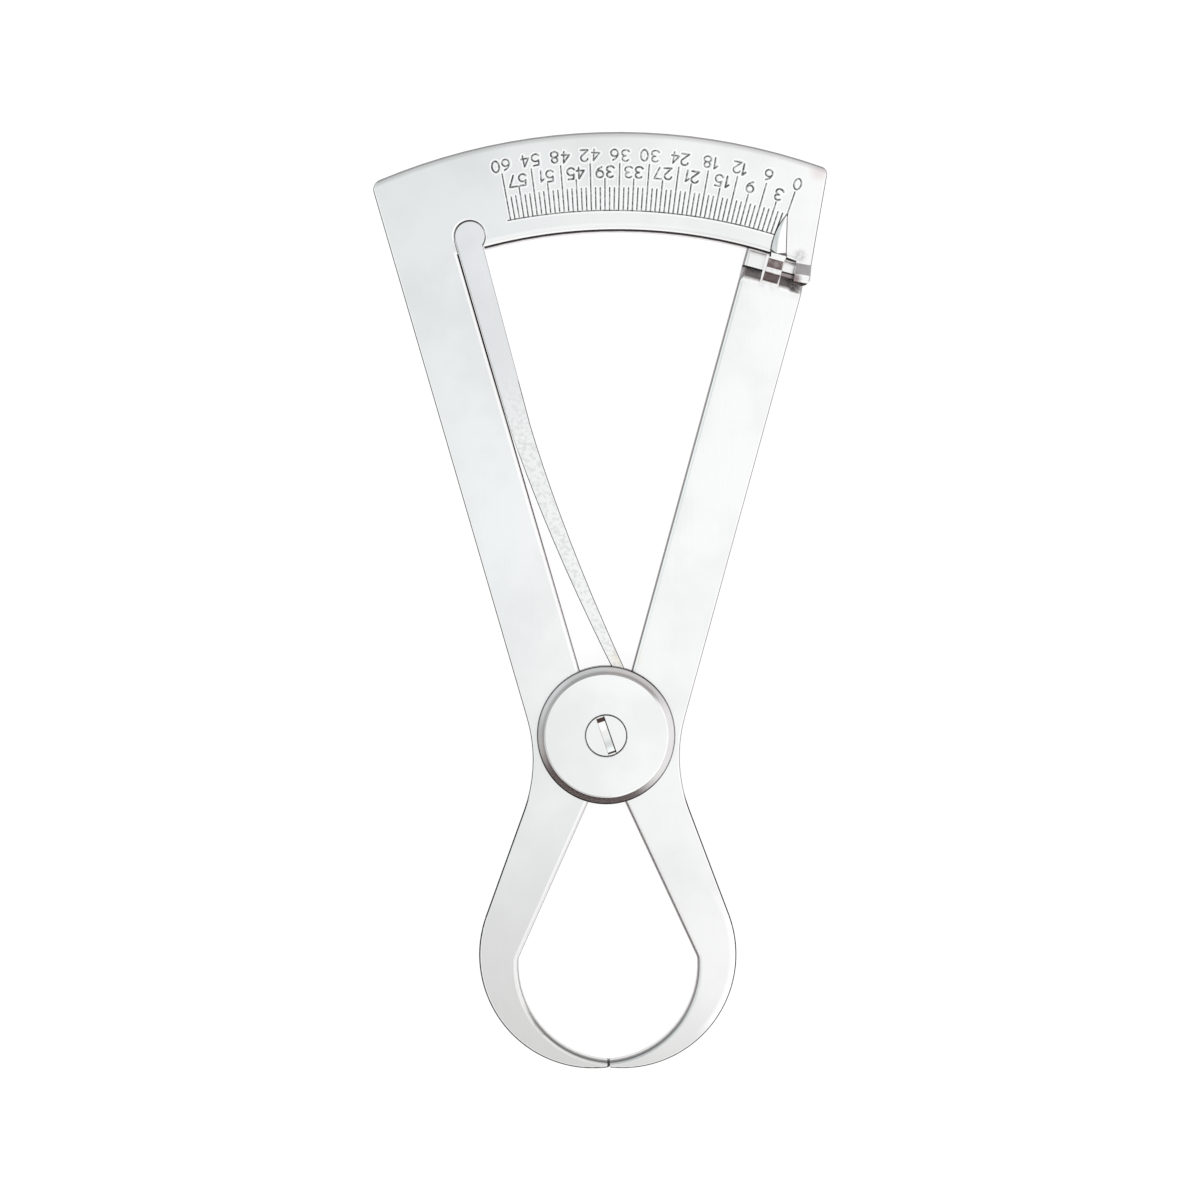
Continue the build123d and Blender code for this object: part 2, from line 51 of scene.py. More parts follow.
# The scale: 61 marks that point at the pivot, on a baseline of its own centre
ZERO_LEAN = 19.62
DIVISION = 0.495
LAST_MARK = 60
NUMERAL_STEP = 3
BASELINE_CENTRE = (1.15, -4.30)
BASELINE_RADIUS = 93.57
BASELINE_OVERHANG = 0.5
UNIT_MARK = 3.9
THIRD_MARK = 5.4
SIXTH_MARK = 8.0
OUTER_NUMERAL_RISE = 9.45
INNER_NUMERAL_RISE = (6.85, 6.4)
NUMERAL_HEIGHT = 1.9
NUMERAL_WIDTH = 1.32
NARROW_WIDTH = 0.45
NUMERAL_GAP = 0.42
MARK_HALF_WIDTH = 0.18
BASELINE_HALF_WIDTH = 0.16
NUMERAL_HALF_WIDTH = 0.26
MARK_DEPTH = 0.13
BASELINE_DEPTH = 0.12
NUMERAL_DEPTH = 0.125
STAMP_SHIFT = 0.09
STAMP_TURN = 5.0
STAMP_FORCE = (0.75, 1.15)
STAMP_SEED = 7
BURR_WIDTH = 0.22
BURR_HEIGHT = 0.012

# The engraved panel, let into the sector's front face
SECTOR_CENTRE = (2.0, -2.2)
PANEL_INNER = 90.6
PANEL_OUTER = 102.6
PANEL_LEFT_LEAN = -12.8
PANEL_RIGHT_LEAN = 19.0
PANEL_STEP = 0.06
PLATE = 2.0
FRONT_SLACK = 0.001
PLACE_DIGITS = 5
SAME_PLACE = 1e-6

# The sector's inner edge, from the keyhole to the lug: a shallow roll, then the rounded corner
SECTOR_INNER = 88.03
EDGE_ROUND = 0.8
ROLL_WIDTH = 0.8
ROLL_DROP = 0.1
LIP_COLUMNS = 160
ROLL_ROWS = 9
ROUND_ROWS = 16
LUG_LEAN = 10.36
LUG_LEFT = 18.03
LUG_SEARCH_LEAN = 2 * LUG_LEAN + 5.0
LEAN_HALVINGS = 30
KEYHOLE_LEAN = -15.8
KEYHOLE_HEIGHT = 88.0
KEYHOLE_OFFSET = 1.47
KEYHOLE_RADIUS = 2.72
KEYHOLE_NECK = 3.29
KEYHOLE_WORN_WIDTH = 0.4
KEYHOLE_WORN_DROP = 0.1

# Which of the solid's faces the lip replaces: all but twisted slivers at its two ends
LIP_INNER_SLACK = 0.05
LIP_OUTER_SLACK = 0.02
LIP_HEIGHT_SLACK = 0.01
SLIVER_TWIST = 0.5
END_ZONE = 0.45

# The photograph's view: straight down on the front
VIEW_CENTRE = (-0.86, 22.94)
VIEW_WIDTH = 204.26
VIEW_DISTANCE = 285.0
VIEW_ROLL = 0.44
SENSOR_WIDTH = 36.0
CLIP_START = 10.0

# The spring's free part bends left of this plane when the jaws open
SPRING_BEND_X = -14.5
SPRING_EDGE = 0.22
SPRING_EDGE_STEPS = 3
SPRING_EDGE_ANGLE = 50.0
SPRING_FLAT_ANGLE = 0.5
SPRING_MERGE = 1e-4

# A dark film between the tips, painted shade in their gap
TIP_SHADE_SPAN = (-55.75, -56.5)
TIP_SHADE_SIDES = (-0.05, 0.04)
TIP_SHADE_TURNS = 6
TIP_SHADE_ROUGHNESS = 0.6

# The metals
WHITE = (1.0, 1.0, 1.0)
PLATE_TINT = (0.91, 0.91, 0.91)
SPRING_TINT = (0.87, 0.865, 0.88)
CAP_TINT = (0.93, 0.93, 0.93)
BACK_DISC_TINT = (0.9, 0.9, 0.9)
SCREW_TINT = (0.93, 0.93, 0.925)
PLATE_ROUGHNESS = 0.24
SPRING_ROUGHNESS = 0.28
DISC_ROUGHNESS = 0.2
PLATE_BRUSH = (0.12, 9.0, 9.0)
SPRING_BRUSH = (0.15, 12.0, 12.0)
DISC_BRUSH = (0.1, 3.0, 3.0)
BRUSH_ROUGHNESS = 0.1
BRUSH_BUMP = 0.12
BRUSH_DEPTH = 0.004
PIT_GRAIN = 0.35
PIT_BUMP = 0.4
MOTTLE_GRAIN = 14.0
MOTTLE = (0.35, 0.65)
MOTTLE_DULL = 0.93
FINE = 4.0
COARSE = 2.0
TARNISH = (0.09, 0.09, 0.09)
TARNISH_DEPTH = (0.05, 0.75)
TARNISH_GRAIN = 0.5
TARNISH_PATCHES = (0.38, 0.55, 0.6, 1.0)
TARNISH_ROUGHNESS = 0.15
# the burrs beside the cuts get a painted highlight
BURR_HIGHLIGHT = (-0.01, -0.06)

# Cut edges, painted shade: dark steep corners over shaded walls with a grey lower edge
CORNER_SHADE = (0.05, 0.045, 0.045)
SOFT_CORNER_SHADE = (0.30, 0.28, 0.28)
CORNER_TURN = (0.80, 0.72)
SPRING_CORNER_TURN = (0.97, 0.85)
BACK_TURN = (-0.9, -0.5)
STEEP_TURN = (0.03, 0.12)
WALL_SHADE = (0.86, 0.80, 0.81)
WALL_LOW = (2.55, 2.2)
LOW_SHADE = (0.42, 0.40, 0.40)

# Colours of painted shade, shadow and reflection
# near black: painted shade in gaps, creases, recesses and along edges
DARK_SHADE = (0.03, 0.025, 0.025)
SHADE = (0.30, 0.28, 0.28)
# brown: a painted reflection on bent slopes
BROWN_REFLECTION = (0.22, 0.165, 0.165)
# grey: a painted shadow by the bends
SHADOW_GREY = (0.55, 0.54, 0.54)
# pink: painted shade in the sector's upper right corner
PINK_SHADE = (0.80, 0.72, 0.72)
TOP_SHADE = (0.36, 0.35, 0.35)

# Painted shade, shadow and reflection on the sector
UPPER_HALF = (0.0, 1.0)
TOP_EDGE = (104.42, 104.55)
TOP_FADE = (103.6, 104.45, 0.0, 0.45)
PINK_SHADE_PLACE = (37.0, 95.6)
PINK_SHADE_EDGE = (2.2, 0.3, 0.0, 0.8)
LUG_SHADOW_PLACE = (33.6, 81.2)
LUG_SHADOW_EDGE = (1.7, 0.3)
LUG_SHADOW_GRAIN = 0.8
LUG_SHADOW_CLOUD = (0.35, 0.6, 0.3, 0.75)
LUG_TURN = (0.8, 0.9)
LUG_EDGE = (20.51, 20.53)
LUG_BROWN_PLACE = (32.4, 77.0)
LUG_BROWN_EDGE = (1.7, 0.4, 0.0, 0.9)
LUG_BROWN_HEIGHT = (4.3, 4.5)
KEYHOLE_SHADE = (0.04, 0.02)
KEYHOLE_LINE = (0.16, 0.13, 0.0, 0.8)
KEYHOLE_LOWER = (88.5, 87.5)
KEYHOLE_LEFT = (1.47, 0.47)
NECK_OFFSET = -1.315
NECK_LINE = (0.1, 0.06, 0.0, 0.8)
NECK_TOP = (88.1, 87.9)
NECK_LOW = (85.4, 85.5)

# Painted shade and reflection on the cap disc, as shares of its radius where they follow its sides
CAP_RADIUS = 11.75
CAP_SHADE = (11.2, 10.4)
CAP_SHADE_END = (10.24, 10.31)
CAP_SHADE_NORTH = 0.5
CAP_SHADE_SIDE = (-0.62, -0.35)
CAP_SHADE_FADE = (-0.2, 0.8, 0.55, 0.85)
CAP_OUTLINE = (11.45, 11.55)
CAP_OUTLINE_BACK = (0.4, 0.9, 0.85, 0.55)
CAP_OUTLINE_EAST = (0.95, 0.6, 0.45, 1.0)

# Painted shade on the screw
SCREW_RIM = (3.37, 3.39)
SLOT_LEAN = -18.6
SLOT_HALF_WIDTH = 0.675
SLOT_LENGTH = (3.3, 3.2)
SLOT_SIDE = (0.12, 0.08)
SLOT_FAINT_SIDE = (0.1, 0.05, 0.0, 0.25)
SLOT_TOP = (2.35, 2.45)
SLOT_BOTTOM = (-2.8, -2.9)
SLOT_FLOOR = (6.05, 6.0)
SLOT_END_SHADE = (0.07, 0.045, 0.04)

# Painted shade, shadow and reflection on the pointer arm. A finger has its side, the fade towards its bend,
# the crease and a colour
ARM_LEAN = 15.8
HUMP_LEFT = (4.95, 5.0)
HUMP_RIGHT = (8.0, 7.95)
HUMP_START = (81.2, 81.4)
HUMP_END = (85.6, 85.4)
HUMP_TURN = (0.97, 0.9)
HUMP_GRAIN = 0.9
HUMP_CLOUD = (0.35, 0.62, 0.72, 1.0)
BEND_SHADOW = (79.0, 82.4)
BEND_SHADOW_END = (84.0, 83.6)
BEND_CLOUD = (0.35, 0.75, 0.05, 0.45)
FINGER_SHADE = (0.20, 0.19, 0.19)
LEFT_FINGER = ((4.95, 4.9), (82.5, 83.6, 0.0, 0.85), (83.5, 83.8), FINGER_SHADE)
RIGHT_FINGER = ((8.0, 8.05), (82.8, 83.6, 0.0, 0.85), (84.3, 84.5), BROWN_REFLECTION)
CREASE_START = 0.1
CREASE_END = 0.05
BLADE_START = (85.6, 85.7)
BLADE_HEIGHT = (4.1, 4.15)
POINTER_BASE = (8.07, 86.4)
POINTER_TIP = (6.33, 93.59)
POINTER_EDGE = (-0.16, -0.13)
BELLY_TOP = (6.17, 93.59)
BELLY_BASE = (5.17, 86.4)
BELLY_WIDTH = 0.6
BELLY_EDGE = (-0.18, -0.13)
FACET_SIDE = (-0.3, -0.4)
FACET_GRAIN = (0.5, 9.0, 9.0)
FACET_STREAKS = (0.3, 0.7, 0.45, 1.0)
FACET_SHADE = (0.62, 0.62, 0.62)

# The spring's lower half is speckled, and lacquer has yellowed where its tail bears on the arm
TAIL_PLACE = (3.5, 13.5)
TAIL_EDGE = (3.4, 1.0)
TAIL_TURN = (0.9, 0.97)
TAIL_TINT = (0.88, 0.84, 0.74)
SPRING_TURN = (0.95, 0.99)
SPECKLE_FADE = (66.0, 48.0)
SPECKLE_GRAIN = 0.6
SPECKLE = (0.46, 0.62, 0.0, 0.36)
SPECKLE_LIGHT = (0.91, 0.905, 0.905)
SPECKLE_GREY = (0.55, 0.55, 0.55)

# The jaws: metal that is darker towards the tips, with painted shade and highlight on the inner edges and
# painted shade on the outer ones. The centres are the right jaw's, and the left one mirrors them. Each jaw
# has the height where it starts to darken and its outer edge's turn
JAW_OUTER_CENTRE = (2.52, -37.45)
JAW_INNER_CENTRE = (-1.06, -39.30)
JAW_START = (-9.5, -12.0)
INNER_SIDE = (0.0, 0.2)
OUTER_SIDE = (0.0, -0.2)
JAW_DARKER = (0.71, 0.705, 0.70)
DARKER_END = -58.0
LEFT_JAW = (-14.0, (0.97, 0.88))
RIGHT_JAW = (-47.0, (0.93, 0.85))
LOWER_JAW = (-45.0, -50.0)
UPPER_JAW = (-50.0, -45.0)
LOWER_TURN = (0.99, 0.75)
LINE_TURN = (0.9, 0.82)
LIGHT_TURN = (0.5, 0.6)
LEFT_ARM_TOP = (66.0, 50.0)
LEFT_ARM_START = (5.0, 8.0)
EAST_SIDE = (0.2, 0.3)
HIGHLIGHT_EDGE = (17.9, 18.7)
HIGHLIGHT_START = (-24.0, -34.0)
HIGHLIGHT_END = (-52.0, -48.0)
SOFT_TURN = (0.999, 0.93)
SOFT_TURN_END = (0.72, 0.80)
INNER_SOFT_SHADE = (0.62, 0.61, 0.61)
INNER_HIGHLIGHT = (0.95, 0.94, 0.94)
INNER_SHADE_LINE = (0.30, 0.29, 0.29)
INNER_SHADE_GREY = (0.28, 0.275, 0.275)
TIP_SHADE_EDGE = (0.22, 0.2)
TIP_HEIGHT = (-50.0, -51.0)

# The floor: what lights it, and what the camera and reflections see
FLOOR_SIZE = 3000.0
FLOOR_PAINT = (0.85, 0.85, 0.85)
FLOOR_SHADOWED = (0.30, 0.30, 0.30)
FLOOR_GLOW = 0.8

# The sky overhead: its brightest place, how it falls off, and the rim where it brightens again
SKY_PEAK = 1.12
SKY_PEAK_X = 0.07
SKY_PEAK_Y = 0.04
SKY_FALL_ACROSS = 0.56
SKY_FALL_SIDES = (0.0, 0.07, 0.19, 0.93)
SKY_LEAST = 0.76
ZENITH_SLACK = 1e-4
SKY_RIM = 1.16
SKY_RIM_START = (0.32, 0.44)
SKY_RIM_NORTH = (0.7, 0.2)
SKY_BACK_RIM_START = (0.48, 0.62)
SKY_COOL = (0.945, 1.0, 1.0)
SKY_COOL_WEST = (0.05, -0.12)
SKY_COOL_NORTH = (-0.15, -0.09)

# The sky on each side by the angle from the zenith, and where the sides meet
SKY_SIDES = {
    "front": [
        (0, WHITE), (60, WHITE), (68, (0.10, 0.07, 0.065)), (80, (0.075, 0.052, 0.048)),
        (90, (0.05, 0.03, 0.03)),
    ],
    "back": [
        (0, WHITE), (58, WHITE), (66, (0.58, 0.56, 0.56)), (78, (0.54, 0.52, 0.52)), (84, (0.16, 0.15, 0.15)),
        (90, (0.08, 0.07, 0.07)),
    ],
    "right": [(0, WHITE), (64, WHITE), (78, (0.80, 0.79, 0.79)), (90, (0.5, 0.44, 0.44))],
    "left": [
        (0, WHITE), (58, (0.95, 0.95, 0.95)), (66, (0.62, 0.60, 0.60)), (78, (0.44, 0.42, 0.42)),
        (90, (0.2, 0.16, 0.16)),
    ],
    "back left": [(0, WHITE), (58, (0.9, 0.9, 0.9)), (76, (0.60, 0.59, 0.59)), (90, (0.35, 0.30, 0.30))],
}
BACK_EAST = 0.2
BACK_MEETS = (-0.45, 0.45)
RIGHT_NORTH = -0.25
RIGHT_MEETS = (0.6, 0.95)
LEFT_MEETS = (-0.78, -1.0)
CORNER_EAST = -0.87
CORNER_NORTH = 0.5
CORNER_MEETS = (0.87, 0.99)


def polar(radius, lean):
    """Point at a radius from the pivot, in a direction that leans right of +Y."""
    return np.array([radius * sin(radians(lean)), radius * cos(radians(lean))])


def sector_point(radius, lean):
    """Place at a radius and lean about the sector's centre."""
    x = SECTOR_CENTRE[0] + radius * np.sin(lean)
    y = SECTOR_CENTRE[1] + radius * np.cos(lean)
    return np.stack([x, y], axis=-1)


# ---- meshes


def new_object(name, vertices, faces, material):
    """A mesh object from points in millimetres."""
    mesh = bpy.data.meshes.new(name)
    mesh.from_pydata([tuple(point * MM for point in vertex) for vertex in vertices], [], faces)
    mesh.validate()
    made = bpy.data.objects.new(name, mesh)
    bpy.context.scene.collection.objects.link(made)
    mesh.materials.append(material)
    return made


def grid_mesh(name, grid, material):
    """A smooth mesh over a grid of points, row by row."""
    rows, columns = grid.shape[:2]
    index = np.arange(rows * columns).reshape(rows, columns)
    quads = np.stack([index[:-1, :-1], index[:-1, 1:], index[1:, 1:], index[1:, :-1]], axis=2)
    made = new_object(name, grid.reshape(-1, 3), quads.reshape(-1, 4).tolist(), material)
    made.data.shade_smooth()
    return made


def loose_copy(source, name):
    """A copy of a CAD mesh that no longer follows the CAD node."""
    made = source.copy()
    made.data = source.data.copy()
    made.name = name
    for key in list(made.keys()):
        del made[key]
    made.parent = None
    made.matrix_world = Matrix.Identity(4)
    bpy.context.scene.collection.objects.link(made)
    return made


# ---- the engraved scale


def arc(centre, size, start, end, steps=12):
    """Points along an arc of an ellipse, between two angles in degrees."""
    turns = np.radians(np.linspace(start, end, steps + 1))
    return np.stack([centre[0] + size[0] * np.cos(turns), centre[1] + size[1] * np.sin(turns)], axis=1)


def line(*points):
    """Points of a straight-edged stroke."""
    return np.array(points, float)


def digit_strokes():
    """Single-line digits in a box one high and one wide, as lists of points."""
    six = [arc((0.5, 0.31), (0.46, 0.31), 0, 360), arc((1.1, 0.34), (1.06, 0.66), 112, 180)]
    return {
        "0": [arc((0.5, 0.5), (0.46, 0.5), 0, 360, 18)],
        "1": [line((-0.4, 0.74), (0.7, 1.0), (0.7, 0.0))],
        "2": [arc((0.5, 0.71), (0.45, 0.29), 165, -30), line((0.89, 0.565), (0.04, 0.0), (1.0, 0.0))],
        "3": [arc((0.46, 0.76), (0.42, 0.24), 150, -90), arc((0.46, 0.26), (0.5, 0.26), 90, -150)],
        "4": [line((0.72, 0.0), (0.72, 1.0), (0.02, 0.3), (1.0, 0.3))],
        "5": [line((0.9, 1.0), (0.2, 1.0), (0.12, 0.57)), arc((0.46, 0.33), (0.5, 0.33), 132, -150)],
        "6": six,
        "7": [line((0.02, 1.0), (0.98, 1.0), (0.34, 0.0))],
        "8": [arc((0.5, 0.76), (0.38, 0.24), 0, 360), arc((0.5, 0.26), (0.47, 0.26), 0, 360)],
        "9": [1 - stroke for stroke in six],
    }


def distance_to_stroke(points, stroke):
    """Distance from each point to a stroke's nearest piece."""
    nearest = np.full(len(points), np.inf)
    for start, end in zip(stroke[:-1], stroke[1:]):
        along = end - start
        share = np.clip((points - start) @ along / (along @ along), 0, 1)
        nearest = np.minimum(nearest, np.linalg.norm(points - start - share[:, None] * along, axis=1))
    return nearest


def groove(distance, half_width, depth):
    """Height over a rolled V-groove, with the metal that it pushed up beside it."""
    share = np.clip(1 - distance / half_width, 0, 1)
    beside = (distance - half_width - BURR_WIDTH / 2) / (BURR_WIDTH / 2)
    burr = BURR_HEIGHT * np.clip(1 - beside**2, 0, 1)
    return np.where(distance < half_width, depth * share**2 * (3 - 2 * share), -burr)


def deepen(depths, cut, where=slice(None)):
    """Adds a groove to the depths: cuts win over the burrs beside other cuts."""
    before = depths[where]
    deeper = np.maximum(before, cut)
    depths[where] = np.where(deeper > 0, deeper, np.minimum(before, cut))


def baseline_radius(lean):
    """The baseline's radius from the pivot, in a direction given by its lean."""
    towards = polar(1, lean)
    centre = np.array(BASELINE_CENTRE)
    across = centre[0] * towards[1] - centre[1] * towards[0]
    return centre @ towards + np.sqrt(BASELINE_RADIUS**2 - across**2)


def mark_length(number):
    """Length of the mark for a number on the scale."""
    if number % (2 * NUMERAL_STEP) == 0:
        return SIXTH_MARK
    return THIRD_MARK if number % NUMERAL_STEP == 0 else UNIT_MARK


def cut_marks(points, depths):
    """Deepens the panel along the baseline and every mark."""
    radius = np.linalg.norm(points, axis=1)
    lean = np.arctan2(points[:, 0], points[:, 1])
    end_lean = ZERO_LEAN - LAST_MARK * DIVISION
    off_arc = np.linalg.norm(points - BASELINE_CENTRE, axis=1) - BASELINE_RADIUS
    past_zero = radius * (lean - radians(ZERO_LEAN))
    past_last = radius * (radians(end_lean) - lean)
    past = np.maximum(0, np.maximum(past_zero, past_last) - BASELINE_OVERHANG)
    deepen(depths, groove(np.hypot(off_arc, past), BASELINE_HALF_WIDTH, BASELINE_DEPTH))
    for number in range(LAST_MARK + 1):
        mark_lean = ZERO_LEAN - number * DIVISION
        low = baseline_radius(mark_lean)
        aside = radius * np.sin(lean - radians(mark_lean))
        past = np.maximum(0, np.maximum(low - radius, radius - low - mark_length(number)))
        deepen(depths, groove(np.hypot(aside, past), MARK_HALF_WIDTH, MARK_DEPTH))


def cut_numerals(points, depths):
    """Deepens the panel along the numerals, whose tops point at the pivot."""
    strokes = digit_strokes()
    hand = np.random.default_rng(STAMP_SEED)
    for number in range(0, LAST_MARK + 1, NUMERAL_STEP):
        lean = ZERO_LEAN - number * DIVISION
        rise = np.interp(number, (0, LAST_MARK), INNER_NUMERAL_RISE) if number % 2 else OUTER_NUMERAL_RISE
        centre = polar(baseline_radius(lean) + rise, lean)
        up = -polar(1, lean)
        right = np.array([up[1], -up[0]])
        widths = [NARROW_WIDTH if digit == "1" else NUMERAL_WIDTH for digit in str(number)]
        start = -(sum(widths) + (len(widths) - 1) * NUMERAL_GAP) / 2
        near = np.flatnonzero(np.linalg.norm(points - centre, axis=1) < 2 * NUMERAL_HEIGHT)
        local = points[near] - centre
        for digit, width in zip(str(number), widths):
            middle = np.array([start + width / 2, 0]) + hand.uniform(-STAMP_SHIFT, STAMP_SHIFT, 2)
            tilt = radians(hand.uniform(-STAMP_TURN, STAMP_TURN))
            depth = NUMERAL_DEPTH * hand.uniform(*STAMP_FORCE)
            aside = np.stack([local @ right, local @ up], axis=1) - middle
            box = aside @ [[cos(tilt), -sin(tilt)], [sin(tilt), cos(tilt)]] + (width / 2, NUMERAL_HEIGHT / 2)
            start += width + NUMERAL_GAP
            for stroke in strokes[digit]:
                away = distance_to_stroke(box, stroke * (width, NUMERAL_HEIGHT))
                deepen(depths, groove(away, NUMERAL_HALF_WIDTH, depth), near)


def panel_grid():
    """The panel's grid of points, row by row outwards."""
    rows = int((PANEL_OUTER - PANEL_INNER) / PANEL_STEP) + 1
    sweep = radians(PANEL_RIGHT_LEAN - PANEL_LEFT_LEAN)
    columns = int(sweep * (PANEL_INNER + PANEL_OUTER) / 2 / PANEL_STEP) + 1
    radius = np.linspace(PANEL_INNER, PANEL_OUTER, rows)[:, None]
    lean = np.radians(np.linspace(PANEL_LEFT_LEAN, PANEL_RIGHT_LEAN, columns))[None, :]
    return sector_point(radius, lean)


def in_panel(points):
    """Whether points lie in the strip that the panel fills."""
    away = points - SECTOR_CENTRE
    radius = np.hypot(away[:, 0], away[:, 1])
    lean = np.degrees(np.arctan2(away[:, 0], away[:, 1]))
    across = (radius > PANEL_INNER) & (radius < PANEL_OUTER)
    return across & (lean > PANEL_LEFT_LEAN) & (lean < PANEL_RIGHT_LEAN)


def engraved_panel(front, material):
    """The strip of the sector that holds the scale, with every groove as real depth."""
    grid = panel_grid()[::-1]
    points = grid.reshape(-1, 2)
    depths = np.zeros(len(points))
    cut_marks(points, depths)
    cut_numerals(points, depths)
    made = grid_mesh("scale_panel", np.dstack([grid, front - depths.reshape(grid.shape[:2])]), material)
    depth = made.data.attributes.new("groove", "FLOAT", "POINT")
    depth.data.foreach_set("value", depths / MARK_DEPTH)
    return made


# ---- the sector's rounded inner edge


def before_lip(points):
    """Whether points lie in the keyhole or left of it."""
    up = polar(1, KEYHOLE_LEAN)
    right = polar(1, KEYHOLE_LEAN + 90)
    offset = points @ right
    height = points @ up
    round_part = np.hypot(offset - KEYHOLE_OFFSET, height - KEYHOLE_HEIGHT) < KEYHOLE_RADIUS
    slot_part = (offset < KEYHOLE_NECK) & (height < KEYHOLE_HEIGHT)
    return round_part | slot_part | (offset < KEYHOLE_OFFSET)


def before_lug(points):
    """Whether points lie left of the lug."""
    return points @ polar(1, LUG_LEAN + 90) < LUG_LEFT


def last_lean(radius, low, high, test):
    """The lean at which circles about the sector's centre stop passing a test, between two leans."""
    low = np.full_like(radius, radians(low))
    high = np.full_like(radius, radians(high))
    for _ in range(LEAN_HALVINGS):
        middle = (low + high) / 2
        passes = test(sector_point(radius, middle))
        low = np.where(passes, middle, low)
        high = np.where(passes, high, middle)
    return high


def lip_profile(front):
    """Radii and heights across the sector's inner edge: a shallow roll, then the rounded corner."""
    slope = atan(2 * ROLL_DROP / ROLL_WIDTH)
    size = (EDGE_ROUND - ROLL_DROP) / cos(slope)
    turns = np.linspace(slope, pi / 2, ROUND_ROWS)
    rounded = np.stack([SECTOR_INNER + size * (1 - np.sin(turns)), front - EDGE_ROUND + size * np.cos(turns)])
    share = np.arange(ROLL_ROWS) / ROLL_ROWS
    roll = np.stack([rounded[0, 0] + ROLL_WIDTH * (1 - share), front - ROLL_DROP * share**2])
    return np.hstack([roll, rounded])


def lip_grid(front):
    """The sector's inner edge as rows of points from the roll to the wall."""
    radius, height = lip_profile(front)
    start = last_lean(radius, KEYHOLE_LEAN, 0.0, before_lip)
    end = last_lean(radius, 0.0, LUG_SEARCH_LEAN, before_lug)
    lean = np.linspace(start, end, LIP_COLUMNS, axis=1)
    places = sector_point(radius[:, None], lean)
    return np.dstack([places, np.broadcast_to(height[:, None], lean.shape)])


def in_lip(points, outer):
    """Whether points lie in the strip along the sector's inner edge, up to an outer radius."""
    radius = np.linalg.norm(points - SECTOR_CENTRE, axis=1)
    near = (radius > SECTOR_INNER - LIP_INNER_SLACK) & (radius < outer) & (points[:, 1] > 0)
    return near & ~before_lip(points) & before_lug(points)


def is_lip_face(face, front):
    """Whether a face belongs to the rounded corner that the lip replaces."""
    corners = np.array([corner.co for corner in face.verts]) / MM
    radius = np.linalg.norm(corners[:, :2] - SECTOR_CENTRE, axis=1)
    middle = corners[:, :2].mean(axis=0)
    away = (middle - SECTOR_CENTRE) / np.linalg.norm(middle - SECTOR_CENTRE)
    twist = abs(face.normal.x * away[1] - face.normal.y * away[0])
    low, heights = front - EDGE_ROUND, corners[:, 2]
    outer = SECTOR_INNER + EDGE_ROUND + LIP_OUTER_SLACK
    above = heights.min() > low - LIP_HEIGHT_SLACK and heights.max() > low + LIP_HEIGHT_SLACK
    fits = above and (radius < outer).all()
    beside = middle + np.outer((-END_ZONE, END_ZONE), (away[1], -away[0]))
    return fits and in_lip(middle[None], outer)[0] and (twist < SLIVER_TWIST or in_lip(beside, outer).all())


# ---- the scale leg's opened front


def is_front(face, front):
    """Whether a face lies in the plate's front plane."""
    return all(abs(corner.co.z - front * MM) < FRONT_SLACK * MM for corner in face.verts)


def shared_place(place):
    """A place in the plane, rounded so that joined edges share it."""
    return tuple(round(value, PLACE_DIGITS) for value in place)


def middle_of(face, corners):
    """The middle of a face that is given by its corners' numbers."""
    return sum((corners[index] for index in face), Vector((0, 0))) / len(face)


def open_front(source, front, hole, lip, material):
    """The scale leg's skin without its flat front and lip, and the front with their openings in it."""
    skin = loose_copy(source, "scale_leg_skin")
    shape = bmesh.new()
    shape.from_mesh(skin.data)
    flat = {face for face in shape.faces if is_front(face, front)}
    rim = [edge for edge in shape.edges if sum(face in flat for face in edge.link_faces) == 1]
    loops = [[tuple(corner.co.xy / MM) for corner in edge.verts] for edge in rim]
    loops += zip(hole, hole[1:] + hole[:1])
    loops += zip(lip, lip[1:])
    places = {}
    edges = [[places.setdefault(shared_place(place), len(places)) for place in pair] for pair in loops]
    corners, _, faces, *_ = delaunay_2d_cdt([Vector(place) for place in places], edges, [], 1, SAME_PLACE)
    middles = np.array([middle_of(face, corners) for face in faces])
    filled = in_panel(middles) | in_lip(middles, lip_profile(front)[0, 0])
    faces = [face for face, left_out in zip(faces, filled) if not left_out]
    flat |= {face for face in shape.faces if is_lip_face(face, front)}
    bmesh.ops.delete(shape, geom=list(flat), context="FACES")
    shape.to_mesh(skin.data)
    shape.free()
    return skin, new_object("scale_leg_front", [(*corner, front) for corner in corners], faces, material)


def let_in_panel(leg, material):
    """Opens the scale leg's front and lays the engraved panel in it."""
    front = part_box("scale_leg")[0].z / MM + PLATE
    grid = panel_grid()
    hole = [tuple(point) for point in np.vstack([grid[0], grid[-1][::-1]])]
    lip = lip_grid(front)
    edge = [tuple(point) for point in np.vstack([lip[0, :, :2], lip[1:ROLL_ROWS, -1, :2]])]
    made = [*open_front(leg, front, hole, edge, material), engraved_panel(front, material)]
    made.append(grid_mesh("sector_lip", lip, leg.data.materials[0]))
    for piece in made:
        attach(piece, "scale_side")
        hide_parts("scale_leg")


# ---- materials


